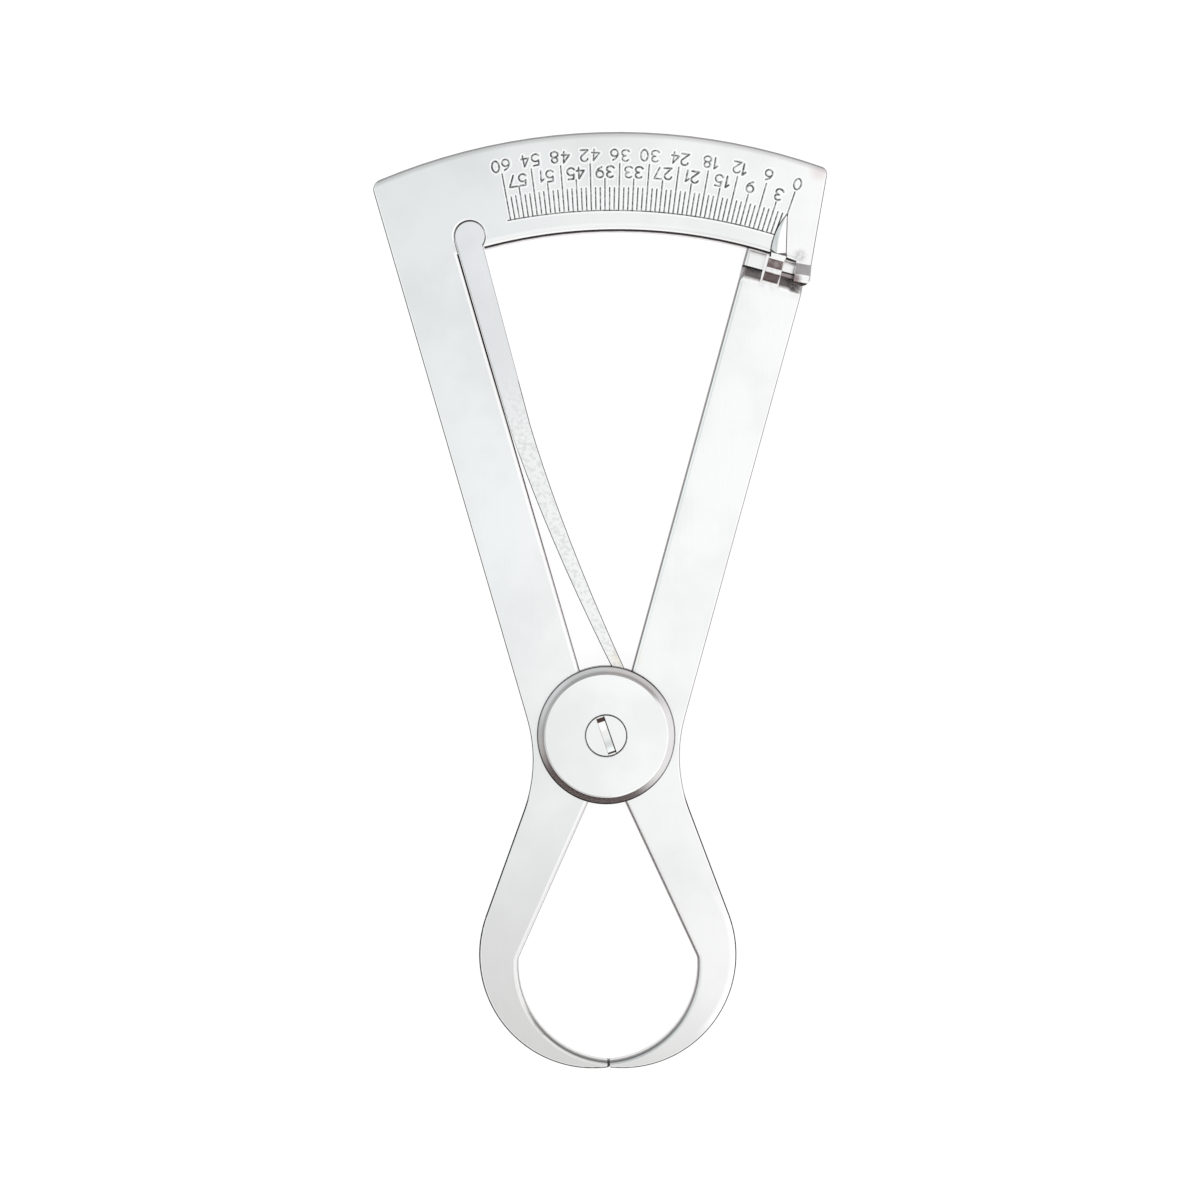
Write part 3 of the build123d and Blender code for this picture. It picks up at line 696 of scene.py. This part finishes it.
class Nodes:
    """A node tree that is filled by short calls."""

    def __init__(self, tree):
        self.tree = tree
        tree.nodes.clear()

    def add(self, kind, values=None, **settings):
        """A node with its settings, and its inputs set to numbers or linked to outputs."""
        node = self.tree.nodes.new("ShaderNode" + kind)
        for name, value in settings.items():
            setattr(node, name, value)
        for name, value in (values or {}).items():
            if isinstance(value, bpy.types.NodeSocket):
                self.tree.links.new(value, node.inputs[name])
            else:
                node.inputs[name].default_value = value
        return node

    def math(self, operation, first, second=0.0):
        """One sum, by the name that Blender gives it."""
        return self.add("Math", {0: first, 1: second}, operation=operation).outputs[0]

    def product(self, *factors):
        """All the factors multiplied."""
        return reduce(lambda first, second: self.math("MULTIPLY", first, second), factors)

    def ramp(self, value, low, high, to_low=0.0, to_high=1.0):
        """A smooth step from one value to another."""
        limits = {"Value": value, "From Min": low, "From Max": high, "To Min": to_low, "To Max": to_high}
        return self.add("MapRange", limits, interpolation_type="SMOOTHSTEP").outputs[0]

    def stops(self, angle, stops):
        """A colour that changes with an angle, which runs from 0 to 1 over 90 degrees."""
        node = self.add("ValToRGB", {0: angle})
        marks = node.color_ramp.elements
        while len(marks) < len(stops):
            marks.new(1.0)
        for mark, (degree, _) in zip(marks, stops):
            mark.position = degree / 90
        for mark, (_, colour) in zip(marks, stops):
            mark.color = (*colour, 1)
        return node.outputs[0]

    def mix(self, share, first, second, blend="MIX"):
        """A colour made of two others, which are sockets or red, green and blue."""
        colours = [(*colour, 1) if isinstance(colour, tuple) else colour for colour in (first, second)]
        inputs = {0: share, 6: colours[0], 7: colours[1]}
        return self.add("Mix", inputs, data_type="RGBA", blend_type=blend).outputs[2]

    def noise(self, coordinates, stretch, detail=3.0):
        """Noise whose grain is given in millimetres, as one size or as one along each axis."""
        grains = stretch if isinstance(stretch, tuple) else (stretch,) * 3
        scale = [1 / (grain * MM) for grain in grains]
        mapped = self.add("Mapping", {"Vector": coordinates, "Scale": scale}).outputs[0]
        return self.add("TexNoise", {"Vector": mapped, "Scale": 1.0, "Detail": detail}).outputs[0]

    def parts(self, vector):
        """The x, y and z of a vector."""
        return list(self.add("SeparateXYZ", {0: vector}).outputs)

    def facing(self):
        """The x, y and z of the surface's direction."""
        return self.parts(self.add("TexCoord").outputs["Normal"])

    def millimetres(self, here):
        """The x, y and z of a place on the object, in millimetres."""
        return [self.math("DIVIDE", part, MM) for part in self.parts(here)]


def new_material(name):
    """An empty material and its nodes."""
    material = bpy.data.materials.new(name)
    material.use_nodes = True
    return material, Nodes(material.node_tree)


def tarnish_grooves(nodes, here, colour, rough):
    """Dark, rough metal in the cuts, and a painted highlight on the burrs beside them."""
    depth = nodes.add("Attribute", attribute_name="groove").outputs["Fac"]
    patches = nodes.ramp(nodes.noise(here, TARNISH_GRAIN), *TARNISH_PATCHES)
    tarnish = nodes.product(nodes.ramp(depth, *TARNISH_DEPTH), patches)
    colour = nodes.mix(nodes.ramp(depth, *BURR_HIGHLIGHT), colour, WHITE)
    colour = nodes.mix(tarnish, colour, TARNISH)
    return colour, nodes.math("ADD", rough, nodes.product(tarnish, TARNISH_ROUGHNESS))


def cut_edges(nodes, here, turn, tint, corner, corner_turn):
    """Painted shade on cut edges: shaded walls with a grey lower edge, and the steep part of their corners
    dark.
    """
    wall = nodes.product(nodes.ramp(turn, *corner_turn), nodes.ramp(turn, *BACK_TURN))
    low = nodes.product(wall, nodes.ramp(nodes.millimetres(here)[2], *WALL_LOW))
    steep = nodes.product(wall, nodes.ramp(turn, *STEEP_TURN))
    shaded = tuple(value * shade for value, shade in zip(tint, WALL_SHADE))
    return [(wall, shaded), (low, LOW_SHADE), (steep, corner)]


def nickel(
    name, tint, roughness, brush=PLATE_BRUSH, grooves=False, stains_and_shade=None, corner=CORNER_SHADE, turn=CORNER_TURN
):
    """Satin nickel plate: fine brush lines, faint mottling, painted shade on cut edges, and the piece's own
    marks and painted shade.
    """
    material, nodes = new_material(name)
    here = nodes.add("TexCoord").outputs["Object"]
    lines = nodes.noise(here, brush)
    mottle = nodes.noise(here, MOTTLE_GRAIN, FINE)
    darker = tuple(value * MOTTLE_DULL for value in tint)
    colour = nodes.mix(nodes.ramp(mottle, *MOTTLE), darker, tint)
    rough = nodes.math("ADD", roughness - BRUSH_ROUGHNESS / 2, nodes.product(lines, BRUSH_ROUGHNESS))
    if grooves:
        colour, rough = tarnish_grooves(nodes, here, colour, rough)
    upwards = nodes.facing()[2]
    layers = cut_edges(nodes, here, upwards, tint, corner, turn)
    layers += stains_and_shade(nodes, here, upwards) if stains_and_shade else []
    # the layers are real marks and painted shade, shadow, reflection and highlight, laid on in turn
    for share, overlay in layers:
        colour = nodes.mix(share, colour, overlay)
    height = nodes.math("ADD", lines, nodes.product(nodes.noise(here, PIT_GRAIN, COARSE), PIT_BUMP))
    brushed = {"Strength": BRUSH_BUMP, "Distance": BRUSH_DEPTH * MM, "Height": height}
    bump = nodes.add("Bump", brushed).outputs[0]
    if grooves:
        worn = {"Strength": 1.0, "Distance": 1.0, "Height": keyhole_wear(nodes, here), "Normal": bump}
        bump = nodes.add("Bump", worn).outputs[0]
    values = {"Base Color": colour, "Metallic": 1.0, "Roughness": rough, "Normal": bump}
    shader = nodes.add("BsdfPrincipled", values).outputs[0]
    nodes.add("OutputMaterial", {"Surface": shader})
    return material


# ---- what stains are measured from


def along_and_across(nodes, here, lean):
    """Distances along a leaning direction and to its right, and the height."""
    x, y, height = nodes.millimetres(here)
    east, north = sin(radians(lean)), cos(radians(lean))
    along = nodes.math("ADD", nodes.product(x, east), nodes.product(y, north))
    across = nodes.math("SUBTRACT", nodes.product(x, north), nodes.product(y, east))
    return along, across, height


def distance_from(nodes, x, y, place):
    """Distance from a place, for a point given by its coordinates."""
    aside = nodes.math("SUBTRACT", x, place[0])
    ahead = nodes.math("SUBTRACT", y, place[1])
    square = nodes.math("ADD", nodes.product(aside, aside), nodes.product(ahead, ahead))
    return nodes.math("SQRT", square)


def radius_about(nodes, here, place):
    """Distance from an upright line."""
    x, y, _ = nodes.millimetres(here)
    return distance_from(nodes, x, y, place)


def gap_to(nodes, value, limit):
    """How far a value is from a limit, on either side."""
    return nodes.math("ABSOLUTE", nodes.math("SUBTRACT", value, limit))


def keyhole_distance(nodes, here):
    """Distance outside the keyhole's round end."""
    centre = polar(KEYHOLE_HEIGHT, KEYHOLE_LEAN) + polar(KEYHOLE_OFFSET, KEYHOLE_LEAN + 90)
    return nodes.math("SUBTRACT", radius_about(nodes, here, centre), KEYHOLE_RADIUS)


def keyhole_wear(nodes, here):
    """How far the face sinks towards the keyhole's edge, in metres."""
    share = nodes.math("DIVIDE", keyhole_distance(nodes, here), KEYHOLE_WORN_WIDTH)
    left = nodes.math("MAXIMUM", nodes.math("SUBTRACT", 1.0, share), 0.0)
    return nodes.product(left, left, -KEYHOLE_WORN_DROP * MM)


def pointer_gap(nodes, along, across):
    """Distance to the right of the pointer's straight right edge."""
    base, tip = np.array(POINTER_BASE), np.array(POINTER_TIP)
    run, rise = (tip - base) / np.linalg.norm(tip - base)
    aside = nodes.product(nodes.math("SUBTRACT", across, POINTER_BASE[0]), rise)
    behind = nodes.product(nodes.math("SUBTRACT", along, POINTER_BASE[1]), run)
    return nodes.math("SUBTRACT", aside, behind)


def belly_circle():
    """Centre and radius of the pointer's bowed left side, across and along its arm."""
    base, top = np.array(BELLY_BASE), np.array(BELLY_TOP)
    bulge = (base + top) / 2 - (BELLY_WIDTH, 0)
    rows = 2 * np.array([top - base, bulge - base])
    centre = np.linalg.solve(rows, [top @ top - base @ base, bulge @ bulge - base @ base])
    return centre, np.linalg.norm(centre - base)


# ---- real marks and painted shade, shadow, reflection and highlight: shares and colours that are laid over the metal in turn


def keyhole_stains(nodes, here):
    """Painted shade in the keyhole, and its dark outline at the lower left and down the neck."""
    away = keyhole_distance(nodes, here)
    along, across, _ = along_and_across(nodes, here, KEYHOLE_LEAN)
    lower = nodes.product(nodes.ramp(along, *KEYHOLE_LOWER), nodes.ramp(across, *KEYHOLE_LEFT))
    outline = nodes.product(nodes.ramp(away, *KEYHOLE_LINE), lower)
    neck = nodes.ramp(gap_to(nodes, across, NECK_OFFSET), *NECK_LINE)
    neck = nodes.product(neck, nodes.ramp(along, *NECK_TOP), nodes.ramp(along, *NECK_LOW))
    outline = nodes.math("MAXIMUM", outline, neck)
    return [(outline, DARK_SHADE), (nodes.ramp(away, *KEYHOLE_SHADE), DARK_SHADE)]


def sector_stains(nodes, here, turn):
    """Painted shade: a shaded top edge, pink shade in its right corner, a painted shadow by the lug, a shaded
    outline and a painted brown reflection on the lug, and shade in the keyhole.
    """
    upper = nodes.ramp(nodes.millimetres(here)[1], *UPPER_HALF)
    radius = radius_about(nodes, here, SECTOR_CENTRE)
    top = nodes.product(nodes.ramp(radius, *TOP_EDGE), upper)
    soft = nodes.product(nodes.ramp(radius, *TOP_FADE), upper)
    pink_shade = nodes.ramp(radius_about(nodes, here, PINK_SHADE_PLACE), *PINK_SHADE_EDGE)
    cloud = nodes.ramp(nodes.noise(here, LUG_SHADOW_GRAIN), *LUG_SHADOW_CLOUD)
    painted_shadow = nodes.product(nodes.ramp(radius_about(nodes, here, LUG_SHADOW_PLACE), *LUG_SHADOW_EDGE), cloud)
    _, across, height = along_and_across(nodes, here, LUG_LEAN)
    lug = nodes.product(nodes.ramp(turn, *LUG_TURN), upper, nodes.ramp(across, *LUG_EDGE))
    brown = nodes.ramp(radius_about(nodes, here, LUG_BROWN_PLACE), *LUG_BROWN_EDGE)
    brown = nodes.product(brown, nodes.ramp(height, *LUG_BROWN_HEIGHT))
    stains_and_shade = [(pink_shade, PINK_SHADE), (painted_shadow, SHADOW_GREY), (soft, TOP_SHADE), (top, TOP_SHADE), (lug, TOP_SHADE)]
    return [*stains_and_shade, (brown, BROWN_REFLECTION), *keyhole_stains(nodes, here)]


def left_jaw_edge(nodes, along, east, inner, turn):
    """The left jaw's inner edge: a line of painted shade, then a painted highlight that runs on up the arm.
    """
    dark = nodes.product(inner, nodes.ramp(turn, *LINE_TURN), nodes.ramp(along, *UPPER_JAW))
    arm = nodes.product(nodes.ramp(along, *LEFT_ARM_TOP), nodes.ramp(along, *LEFT_ARM_START))
    arm = nodes.product(arm, nodes.ramp(east, *EAST_SIDE), nodes.ramp(turn, *LINE_TURN))
    light = nodes.product(nodes.math("ADD", dark, arm), nodes.ramp(turn, *LIGHT_TURN))
    return [(dark, INNER_SHADE_LINE), (light, INNER_HIGHLIGHT)]


def right_jaw_edges(nodes, here, along, inner, turn):
    """A painted highlight band inside the right jaw's outer edge, and soft painted shade along its inner
    edge.
    """
    bright = nodes.ramp(radius_about(nodes, here, JAW_OUTER_CENTRE), *HIGHLIGHT_EDGE)
    bright = nodes.product(bright, nodes.ramp(along, *HIGHLIGHT_START), nodes.ramp(along, *HIGHLIGHT_END))
    soft = nodes.product(inner, nodes.ramp(turn, *SOFT_TURN), nodes.ramp(turn, *SOFT_TURN_END))
    return [(bright, WHITE), (soft, INNER_SOFT_SHADE)]


def jaw_stains(nodes, here, turn, side):
    """The jaw on the left (-1) or right (+1): darker towards its tip, with painted shade and highlight on its
    inner and outer edges, and painted shade at the tip.
    """
    along, across, _ = along_and_across(nodes, here, 0.0)
    east, north, _ = nodes.facing()
    aside = nodes.product(east, nodes.math("SUBTRACT", side * JAW_INNER_CENTRE[0], across))
    ahead = nodes.product(north, nodes.math("SUBTRACT", JAW_INNER_CENTRE[1], along))
    inwards = nodes.math("ADD", aside, ahead)
    jaw = nodes.product(nodes.ramp(along, *JAW_START), nodes.ramp(turn, *STEEP_TURN))
    inner = nodes.product(jaw, nodes.ramp(inwards, *INNER_SIDE))
    outer = nodes.product(jaw, nodes.ramp(inwards, *OUTER_SIDE))
    darker_start, outer_turn = LEFT_JAW if side < 0 else RIGHT_JAW
    darker = nodes.add("MapRange", {"Value": along, "From Min": darker_start, "From Max": DARKER_END}).outputs[0]
    dark = nodes.product(outer, nodes.ramp(turn, *outer_turn))
    lower = nodes.product(inner, nodes.ramp(along, *LOWER_JAW), nodes.ramp(turn, *LOWER_TURN))
    tip = nodes.product(nodes.ramp(gap_to(nodes, across, 0.0), *TIP_SHADE_EDGE), nodes.ramp(along, *TIP_HEIGHT))
    if side < 0:
        edges = left_jaw_edge(nodes, along, east, inner, turn)
    else:
        edges = right_jaw_edges(nodes, here, along, inner, turn)
    return [(darker, JAW_DARKER), *edges, (lower, INNER_SHADE_GREY), (dark, DARK_SHADE), (tip, DARK_SHADE)]


def scale_stains(nodes, here, turn):
    """Painted shade, shadow, reflection and highlight on the scale leg."""
    return sector_stains(nodes, here, turn) + jaw_stains(nodes, here, turn, -1)


def bend_stains(nodes, here, turn, along, across):
    """A painted brown reflection on the hump's slopes, and a painted shadow on the arm below the bends."""
    bent = nodes.product(nodes.ramp(across, *HUMP_LEFT), nodes.ramp(across, *HUMP_RIGHT))
    bent = nodes.product(bent, nodes.ramp(along, *HUMP_START), nodes.ramp(along, *HUMP_END))
    cloud = nodes.noise(here, HUMP_GRAIN)
    bent = nodes.product(bent, nodes.ramp(turn, *HUMP_TURN), nodes.ramp(cloud, *HUMP_CLOUD))
    painted_shadow = nodes.product(nodes.ramp(along, *BEND_SHADOW), nodes.ramp(cloud, *BEND_CLOUD))
    painted_shadow = nodes.product(painted_shadow, nodes.ramp(along, *BEND_SHADOW_END))
    return [(painted_shadow, SHADOW_GREY), (bent, BROWN_REFLECTION)]


def finger_stains(nodes, along, across):
    """Painted shade: each side finger darkens towards its bend, and is dark in the crease."""
    stains_and_shade = []
    for side, span, (crease, end), colour in (LEFT_FINGER, RIGHT_FINGER):
        finger = nodes.ramp(across, *side)
        fade = nodes.product(finger, nodes.ramp(along, *span), nodes.ramp(along, end, crease))
        dark = nodes.product(finger, nodes.ramp(along, crease - CREASE_START, crease))
        dark = nodes.product(dark, nodes.ramp(along, end + CREASE_END, end))
        stains_and_shade += [(fade, colour), (dark, DARK_SHADE)]
    return stains_and_shade


def blade_stains(nodes, here, along, across, height):
    """Painted shade on the pointer's streaked left facet, and painted shadow along its edges, the bowed one
    and the straight one.
    """
    blade = nodes.product(nodes.ramp(along, *BLADE_START), nodes.ramp(height, *BLADE_HEIGHT))
    streaks = nodes.ramp(nodes.noise(here, FACET_GRAIN), *FACET_STREAKS)
    facet = nodes.product(nodes.ramp(nodes.facing()[0], *FACET_SIDE), blade, streaks)
    centre, radius = belly_circle()
    belly = nodes.math("SUBTRACT", distance_from(nodes, across, along, centre), radius)
    bowed = nodes.product(nodes.ramp(belly, *BELLY_EDGE), blade)
    straight = nodes.product(nodes.ramp(pointer_gap(nodes, along, across), *POINTER_EDGE), blade)
    return [(facet, FACET_SHADE), (bowed, DARK_SHADE), (straight, DARK_SHADE)]


def pointer_stains(nodes, here, turn):
    """Yellowed lacquer where the spring bears, and painted shade, shadow, reflection and highlight on the
    pointer leg.
    """
    along, across, height = along_and_across(nodes, here, ARM_LEAN)
    yellow = nodes.ramp(radius_about(nodes, here, TAIL_PLACE), *TAIL_EDGE)
    stains_and_shade = [(nodes.product(yellow, nodes.ramp(turn, *TAIL_TURN)), TAIL_TINT)]
    stains_and_shade += bend_stains(nodes, here, turn, along, across)
    stains_and_shade += finger_stains(nodes, along, across)
    stains_and_shade += blade_stains(nodes, here, along, across, height)
    return stains_and_shade + jaw_stains(nodes, here, turn, 1)


def spring_stains(nodes, here, turn):
    """Crinkled, speckled metal on the spring's lower half, and lacquer that yellowed where it bears."""
    flat = nodes.ramp(turn, *SPRING_TURN)
    lower = nodes.product(nodes.ramp(nodes.millimetres(here)[1], *SPECKLE_FADE), flat)
    speckle = nodes.product(nodes.ramp(nodes.noise(here, SPECKLE_GRAIN, FINE), *SPECKLE), lower)
    yellow = nodes.product(nodes.ramp(radius_about(nodes, here, TAIL_PLACE), *TAIL_EDGE), flat)
    return [(lower, SPECKLE_LIGHT), (yellow, TAIL_TINT), (speckle, SPECKLE_GREY)]


def cap_stains(nodes, here, turn):
    """Painted shade: a dark outline at the cap's rim, and a shaded inner border on the bevel's far side."""
    radius = radius_about(nodes, here, (0, 0))
    east, north, _ = (nodes.math("DIVIDE", part, CAP_RADIUS) for part in nodes.millimetres(here))
    far_side = nodes.math("SUBTRACT", nodes.product(north, CAP_SHADE_NORTH), east)
    shade = nodes.product(nodes.ramp(radius, *CAP_SHADE), nodes.ramp(radius, *CAP_SHADE_END))
    shade = nodes.product(shade, nodes.ramp(far_side, *CAP_SHADE_SIDE), nodes.ramp(north, *CAP_SHADE_FADE))
    back = nodes.ramp(nodes.math("SUBTRACT", north, east), *CAP_OUTLINE_BACK)
    strength = nodes.product(nodes.ramp(east, *CAP_OUTLINE_EAST), back)
    return [(shade, SHADE), (nodes.product(nodes.ramp(radius, *CAP_OUTLINE), strength), DARK_SHADE)]


def screw_grime(nodes, here, turn):
    """Painted shade at the head's rim, along its slot's right side and in the slot's ends."""
    along, across, height = along_and_across(nodes, here, SLOT_LEAN)
    rim = nodes.ramp(radius_about(nodes, here, (0, 0)), *SCREW_RIM)
    length = nodes.ramp(gap_to(nodes, along, 0.0), *SLOT_LENGTH)
    side = nodes.product(nodes.ramp(gap_to(nodes, across, SLOT_HALF_WIDTH), *SLOT_SIDE), length)
    faint = nodes.ramp(gap_to(nodes, across, -SLOT_HALF_WIDTH), *SLOT_FAINT_SIDE)
    ends = nodes.math("MAXIMUM", nodes.ramp(along, *SLOT_TOP), nodes.ramp(along, *SLOT_BOTTOM))
    ends = nodes.product(ends, nodes.ramp(height, *SLOT_FLOOR))
    return [(faint, DARK_SHADE), (ends, SLOT_END_SHADE), (rim, DARK_SHADE), (side, DARK_SHADE)]


def paint_nodes(frame):
    """Gives each solid its finish."""
    finishes = {
        "scale_leg": nickel("nickel_plate", PLATE_TINT, PLATE_ROUGHNESS, stains_and_shade=scale_stains),
        "pointer_leg": nickel(
            "nickel_plate_pointer", PLATE_TINT, PLATE_ROUGHNESS, stains_and_shade=pointer_stains, corner=SOFT_CORNER_SHADE
        ),
        "leaf_spring": nickel(
            "spring_steel", SPRING_TINT, SPRING_ROUGHNESS, SPRING_BRUSH,
            stains_and_shade=spring_stains, turn=SPRING_CORNER_TURN,
        ),
        "cap_disc": nickel("nickel_disc", CAP_TINT, DISC_ROUGHNESS, DISC_BRUSH, stains_and_shade=cap_stains),
        "back_disc": nickel("nickel_disc_back", BACK_DISC_TINT, PLATE_ROUGHNESS, DISC_BRUSH),
        "pivot_screw": nickel("screw_nickel", SCREW_TINT, DISC_ROUGHNESS, DISC_BRUSH, stains_and_shade=screw_grime),
    }
    for name, material in finishes.items():
        mesh = frame["nodes"][name].data
        mesh.materials.clear()
        mesh.materials.append(material)


# ---- painted shade between the tips: a dark film on the left jaw's tip


def tip_film(front):
    """Painted shade between the closed tips: a thin dark film on the left one, under its rounded edge."""
    inner_y, outer_y = TIP_SHADE_SPAN
    turns = np.linspace(0, pi / 2, TIP_SHADE_TURNS)
    edge = [(inner_y - EDGE_ROUND * (1 - cos(turn)), front - EDGE_ROUND * (1 - sin(turn))) for turn in turns]
    outline = [(inner_y, front - PLATE), *edge, (outer_y, front), (outer_y, front - PLATE)]
    vertices = [(x, y, z) for x in TIP_SHADE_SIDES for y, z in outline]
    count = len(outline)
    faces = [tuple(reversed(range(count))), tuple(range(count, 2 * count))]
    faces += [(one, (one + 1) % count, count + (one + 1) % count, count + one) for one in range(count)]
    made = new_object("tip_film", vertices, faces, nickel("tip_shade_dark", DARK_SHADE, TIP_SHADE_ROUGHNESS))
    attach(made, "scale_side")


# ---- the bending spring


def spring_half(source, name, keep_left):
    """One part of the spring, on the left or the right of the plane where it starts to bend."""
    made = loose_copy(source, name)
    if "custom_normal" in made.data.attributes:
        made.data.attributes.remove(made.data.attributes["custom_normal"])
    shape = bmesh.new()
    shape.from_mesh(made.data)
    whole = shape.verts[:] + shape.edges[:] + shape.faces[:]
    place = Vector((SPRING_BEND_X * MM, 0, 0))
    away = Vector((1, 0, 0))
    bmesh.ops.bisect_plane(
        shape, geom=whole, plane_co=place, plane_no=away, clear_outer=keep_left, clear_inner=not keep_left
    )
    bmesh.ops.remove_doubles(shape, verts=shape.verts[:], dist=SPRING_MERGE * MM)
    flat = radians(SPRING_FLAT_ANGLE)
    bmesh.ops.dissolve_limit(shape, angle_limit=flat, verts=shape.verts[:], edges=shape.edges[:])
    shape.to_mesh(made.data)
    shape.free()
    made.data.shade_smooth()
    edge = made.modifiers.new("edge", "BEVEL")
    edge.width = SPRING_EDGE * MM
    edge.segments = SPRING_EDGE_STEPS
    edge.limit_method = "ANGLE"
    edge.angle_limit = radians(SPRING_EDGE_ANGLE)
    made.modifiers.new("flats", "WEIGHTED_NORMAL").keep_sharp = True
    return made


def bending_spring(frame):
    """The spring in two parts, its head and its tail, cut at the plane where it starts to bend."""
    source = frame["nodes"]["leaf_spring"]
    head = spring_half(source, "leaf_spring_head", True)
    tail = spring_half(source, "leaf_spring_tail", False)
    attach(head, "scale_side")
    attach(tail, "scale_side")
    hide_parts("leaf_spring")
    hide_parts("leaf_spring")
    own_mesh(tail)


# ---- stage, light and camera


def floor_material():
    """White ground that stays white to the camera and in reflections, and takes a soft shadow."""
    material, nodes = new_material("white_ground")
    path = nodes.add("LightPath")
    seen = nodes.math("MAXIMUM", path.outputs["Is Camera Ray"], path.outputs["Is Glossy Ray"])
    seen = nodes.math("MAXIMUM", seen, path.outputs["Is Transmission Ray"])
    paint = nodes.add("BsdfDiffuse", {"Color": (*FLOOR_PAINT, 1)}).outputs[0]
    shadowed = nodes.add("BsdfDiffuse", {"Color": (*FLOOR_SHADOWED, 1)}).outputs[0]
    glow = nodes.add("Emission", {"Color": (*WHITE, 1), "Strength": FLOOR_GLOW}).outputs[0]
    shown = nodes.add("AddShader", {0: shadowed, 1: glow}).outputs[0]
    both = nodes.add("MixShader", {0: seen, 1: paint, 2: shown}).outputs[0]
    nodes.add("OutputMaterial", {"Surface": both})
    return material


def ground():
    """The floor under the gauge."""
    half = FLOOR_SIZE / 2
    corners = [(-half, -half, 0), (half, -half, 0), (half, half, 0), (-half, half, 0)]
    floor = new_object("ground", corners, [(0, 1, 2, 3)], floor_material())


def sky_sides(nodes, height, east, north):
    """The sky's tone towards the horizon, which differs on each side."""
    sides = {name: nodes.stops(height, stops) for name, stops in SKY_SIDES.items()}
    back = nodes.math("ADD", north, nodes.product(east, BACK_EAST))
    around = nodes.mix(nodes.ramp(back, *BACK_MEETS), sides["front"], sides["back"])
    right = nodes.math("ADD", east, nodes.product(north, RIGHT_NORTH))
    around = nodes.mix(nodes.ramp(right, *RIGHT_MEETS), around, sides["right"])
    around = nodes.mix(nodes.ramp(east, *LEFT_MEETS), around, sides["left"])
    corner = nodes.math("ADD", nodes.product(east, CORNER_EAST), nodes.product(north, CORNER_NORTH))
    return nodes.mix(nodes.ramp(corner, *CORNER_MEETS), around, sides["back left"])


def sky_tone(nodes, x, y, north, across):
    """How bright the sky is overhead: most on the right, falling off, and brighter again at the rim."""
    leftwards = nodes.math("SUBTRACT", SKY_PEAK_X, x)
    left = nodes.math("MAXIMUM", leftwards, 0.0)
    share = nodes.ramp(leftwards, *SKY_FALL_SIDES)
    sideways = nodes.product(gap_to(nodes, y, SKY_PEAK_Y), share)
    drop = nodes.math("ADD", nodes.product(left, SKY_FALL_ACROSS), sideways)
    tone = nodes.math("MAXIMUM", nodes.math("SUBTRACT", SKY_PEAK, drop), SKY_LEAST)
    rim = nodes.product(nodes.ramp(across, *SKY_RIM_START), nodes.ramp(north, *SKY_RIM_NORTH))
    rim = nodes.math("MAXIMUM", rim, nodes.ramp(across, *SKY_BACK_RIM_START))
    return nodes.math("ADD", tone, nodes.product(rim, nodes.math("SUBTRACT", SKY_RIM, tone)))


def studio_sky():
    """A white sky, brightest on the right, over a horizon that differs on each side."""
    world = bpy.data.worlds.new("studio")
    bpy.context.scene.world = world
    world.use_nodes = True
    nodes = Nodes(world.node_tree)
    x, y, z = nodes.parts(nodes.add("TexCoord").outputs["Generated"])
    across = nodes.math("SUBTRACT", 1.0, nodes.product(z, z))
    across = nodes.math("SQRT", nodes.math("MAXIMUM", across, ZENITH_SLACK))
    east, north = nodes.math("DIVIDE", x, across), nodes.math("DIVIDE", y, across)
    around = sky_sides(nodes, nodes.product(nodes.math("ARCCOSINE", z), 2 / pi), east, north)
    cool = nodes.product(nodes.ramp(x, *SKY_COOL_WEST), nodes.ramp(y, *SKY_COOL_NORTH))
    cool = nodes.mix(cool, WHITE, SKY_COOL)
    tone = sky_tone(nodes, x, y, north, across)
    overhead = nodes.add("VectorMath", {0: cool, "Scale": tone}, operation="SCALE").outputs[0]
    sky = nodes.mix(1.0, overhead, around, "MULTIPLY")
    background = nodes.add("Background", {"Color": sky, "Strength": 1.0}).outputs[0]
    nodes.add("OutputWorld", {"Surface": background})


def camera(front):
    """The photograph's camera, which looks straight down on the front."""
    data = bpy.data.cameras.new("view")
    data.sensor_width = SENSOR_WIDTH
    data.lens = SENSOR_WIDTH * VIEW_DISTANCE / VIEW_WIDTH
    data.clip_start = CLIP_START * MM
    made = bpy.data.objects.new("view", data)
    bpy.context.scene.collection.objects.link(made)
    made.location = (VIEW_CENTRE[0] * MM, VIEW_CENTRE[1] * MM, (front + VIEW_DISTANCE) * MM)
    made.rotation_euler = (0, 0, -radians(VIEW_ROLL))
    bpy.context.scene.camera = made


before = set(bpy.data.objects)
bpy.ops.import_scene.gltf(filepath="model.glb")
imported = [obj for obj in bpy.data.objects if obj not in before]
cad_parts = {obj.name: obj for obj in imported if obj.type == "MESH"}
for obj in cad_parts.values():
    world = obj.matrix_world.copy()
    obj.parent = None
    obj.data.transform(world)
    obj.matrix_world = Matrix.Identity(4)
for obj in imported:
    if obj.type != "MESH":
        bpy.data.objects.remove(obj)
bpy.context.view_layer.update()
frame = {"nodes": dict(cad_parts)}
paint_nodes(frame)
plate_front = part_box("scale_leg")[0].z / MM + PLATE
engraved = nickel("engraved_nickel", PLATE_TINT, PLATE_ROUGHNESS, grooves=True, stains_and_shade=scale_stains)
let_in_panel(frame["nodes"]["scale_leg"], engraved)
tip_film(plate_front)
bending_spring(frame)
ground()
studio_sky()
camera(plate_front)
bpy.context.scene.view_settings.view_transform = "Standard"
